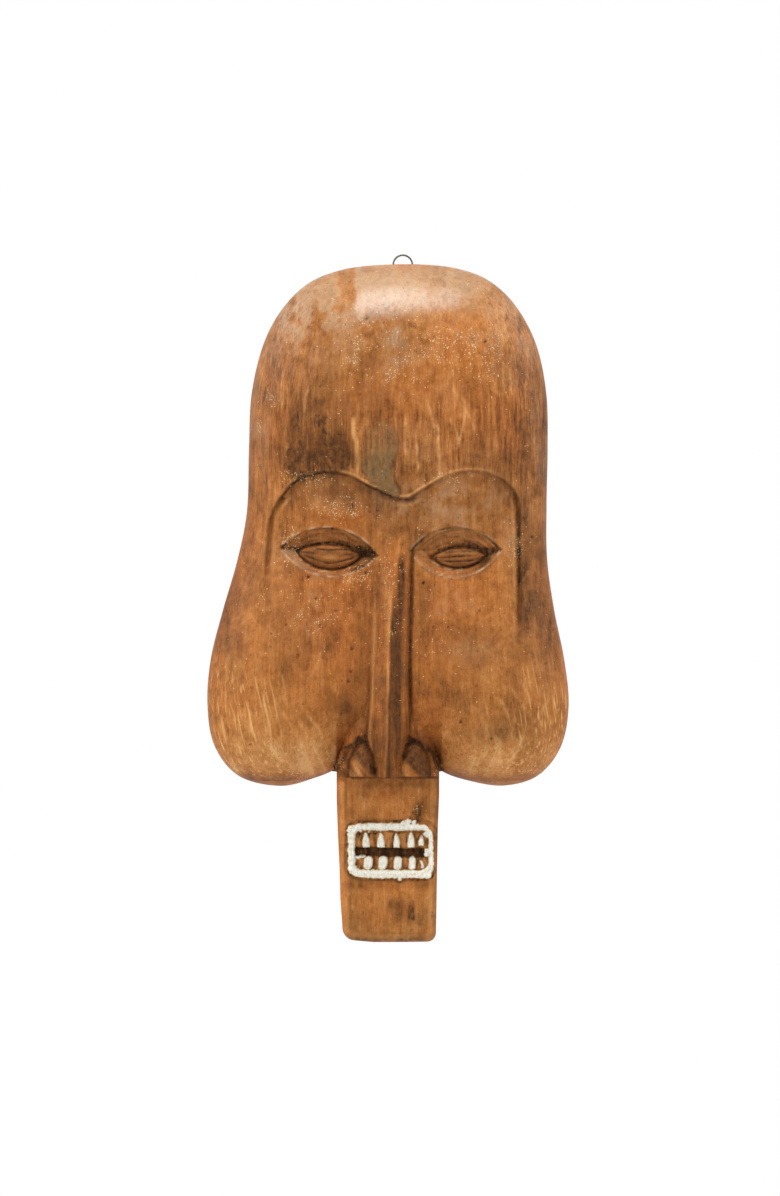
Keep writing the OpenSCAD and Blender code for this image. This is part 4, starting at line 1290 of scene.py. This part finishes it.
def paint_material():
    n = Nodes("brushed white paint")
    brush = n.noise(0.8, 4, 0.6, n.stretched(1, 1, 0.35))
    darkening = n.noise(3.2, 5, 0.65)
    chips = n.noise(1.1, 4, 0.7)
    white = n.mix(n.remap(brush, 0.35, 0.62), (0.76, 0.71, 0.56, 1), (0.98, 0.96, 0.88, 1))
    white = n.mix(n.remap(darkening, 0.52, 0.7, 0, 0.45), white, (0.56, 0.43, 0.23, 1))
    gap = n.remap(n.noise(0.9, 3, 0.6, n.stretched(1, 1, 0.4), 0.4), 0.64, 0.7, 0, 0.5)
    white = n.mix(gap, white, (0.38, 0.27, 0.15, 1))
    white = n.mix(n.remap(chips, 0.66, 0.7, 0, 0.8), white, (0.3, 0.15, 0.06, 1))
    thin = n.math("SUBTRACT", n.remap(brush, 0.3, 0.7, 0.35, 0.75), n.attribute("thick"))
    white = n.mix(n.remap(thin, 0.0, 0.45, 0, 0.9), white, (0.5, 0.35, 0.15, 1))
    n.set("Base Color", white)
    n.set("Roughness", n.remap(darkening, 0.3, 0.7, 0.46, 0.72))
    normal = n.bump(brush, 0.5, 0.0004)
    n.set("Normal", n.bump(chips, 0.2, 0.0003, normal))
    return n.mat


def steel_material(name, bright, dull, rust):
    n = Nodes(name)
    wear = n.noise(1.6, 5, 0.6)
    fine = n.noise(0.35, 3, 0.6, n.stretched(1, 1, 0.3))
    metal = n.mix(n.remap(wear, 0.35, 0.65), (*bright, 1), (*dull, 1))
    metal = n.mix(n.remap(n.noise(2.8, 5, 0.7), 0.56, 0.68, 0, rust), metal, (0.125, 0.055, 0.025, 1))
    n.set("Base Color", metal)
    n.set("Metallic", 0.85)
    n.set("Roughness", n.remap(wear, 0.3, 0.7, 0.32, 0.55))
    n.set("Normal", n.bump(fine, 0.18, 0.00015))
    return n.mat


# ---- the mask
wood = build_wood()
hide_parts("mask_body")
wood.data.materials.append(wood_material())
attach(wood, "mask")

paint = paint_material()
for piece in build_paint():
    piece.data.materials.append(paint)
    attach(piece, "mask")

wire = steel_material("grey steel wire", (0.22, 0.2, 0.175), (0.11, 0.1, 0.085), 0.35)
sheet = steel_material("zinc-plated sheet", (0.55, 0.54, 0.51), (0.38, 0.365, 0.34), 0.25)
ring = build_ring()
ring.data.materials.append(wire)
hardware = [build_strap()] + build_screw()
for piece in hardware:
    piece.data.materials.append(sheet)
    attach(piece, "mask")


# ---- stage, light and camera
def floor():
    """A pale floor, as far below the mask as when it hangs at eye height."""
    low, reach, sides, glow = -1.6, 9.0, 64, 0.56
    turns = np.linspace(0, 2 * math.pi, sides + 1)[:-1]
    rim = [(reach * math.cos(a), reach * math.sin(a), low) for a in turns]
    obj = make_mesh("floor", rim, [tuple(range(sides))], smooth=False)
    n = Nodes("pale floor")
    tint = n.mix(n.noise(1000 / 3, 3), (0.88, 0.88, 0.87, 1), (0.92, 0.92, 0.915, 1))
    n.set("Base Color", tint)
    n.set("Roughness", 0.9)
    n.set("Emission Color", (1, 1, 1, 1))
    # it glows for the camera only, so that it lights nothing
    n.set("Emission Strength", n.times(n.add("LightPath").outputs["Is Camera Ray"], glow))
    obj.data.materials.append(n.mat)


def studio_world(glow):
    """Even light from all round. The background itself is seen as white."""
    world = bpy.data.worlds.new("studio")
    world.use_nodes = True
    tree = world.node_tree
    shade = tree.nodes["Background"]
    shade.inputs["Color"].default_value = (1, 1, 1, 1)
    seen = tree.nodes.new("ShaderNodeMapRange")
    tree.links.new(tree.nodes.new("ShaderNodeLightPath").outputs["Is Camera Ray"], seen.inputs["Value"])
    seen.inputs["To Min"].default_value = glow
    tree.links.new(seen.outputs["Result"], shade.inputs["Strength"])
    bpy.context.scene.world = world


def soft_light(name, place, aim, size, watts):
    lamp = bpy.data.lights.new(name, "AREA")
    lamp.shape = "RECTANGLE"
    lamp.size, lamp.size_y = size
    lamp.energy = watts
    obj = bpy.data.objects.new(name, lamp)
    bpy.context.scene.collection.objects.link(obj)
    obj.location = place
    obj.rotation_euler = (Vector(aim) - Vector(place)).to_track_quat("-Z", "Y").to_euler()


floor()
studio_world(0.4)
centre = (cad_lo + cad_hi) / 2
soft_light("key_left", (-1.7, -2.2, 1.1), centre, (1.8, 1.8), 33)
soft_light("fill_right", (1.9, -2.2, 0.1), centre, (1.8, 1.8), 9)
soft_light("top", (0.06, -0.42, 1.05), centre + Vector((0, 0, 0.15)), (0.75, 0.5), 10)
soft_light("back_wash", (0.2, 2.2, 0.2), centre, (1.6, 1.6), 7)
soft_light("floor_wash_left", (-2.4, 0.5, 0.9), (-1.8, 0.9, -1.6), (2, 2), 60)
soft_light("floor_wash_right", (2.4, 0.5, 0.9), (1.8, 0.9, -1.6), (2, 2), 60)

bpy.context.scene.view_settings.view_transform = "Standard"

camera = bpy.data.cameras.new("camera")
camera.lens, camera.sensor_width, camera.sensor_fit = 180, 36, "VERTICAL"
camera.sensor_height = 36
view_tall = 0.777
aim = Vector((0.00065, -0.02, 0.2225)) + SHIFT
cam = bpy.data.objects.new("camera", camera)
bpy.context.scene.collection.objects.link(cam)
cam.location = aim - Vector((0, camera.lens / camera.sensor_height * view_tall, 0))
cam.rotation_euler = (math.pi / 2, 0, 0)
bpy.context.scene.camera = cam

bpy.context.view_layer.update()
low, high = Vector((9, 9, 9)), Vector((-9, -9, -9))
for obj in bpy.context.scene.objects:
    if obj.type == "MESH" and not obj.hide_render and obj.name != "floor":
        for corner in obj.bound_box:
            p = obj.matrix_world @ Vector(corner)
            low, high = Vector(map(min, low, p)), Vector(map(max, high, p))
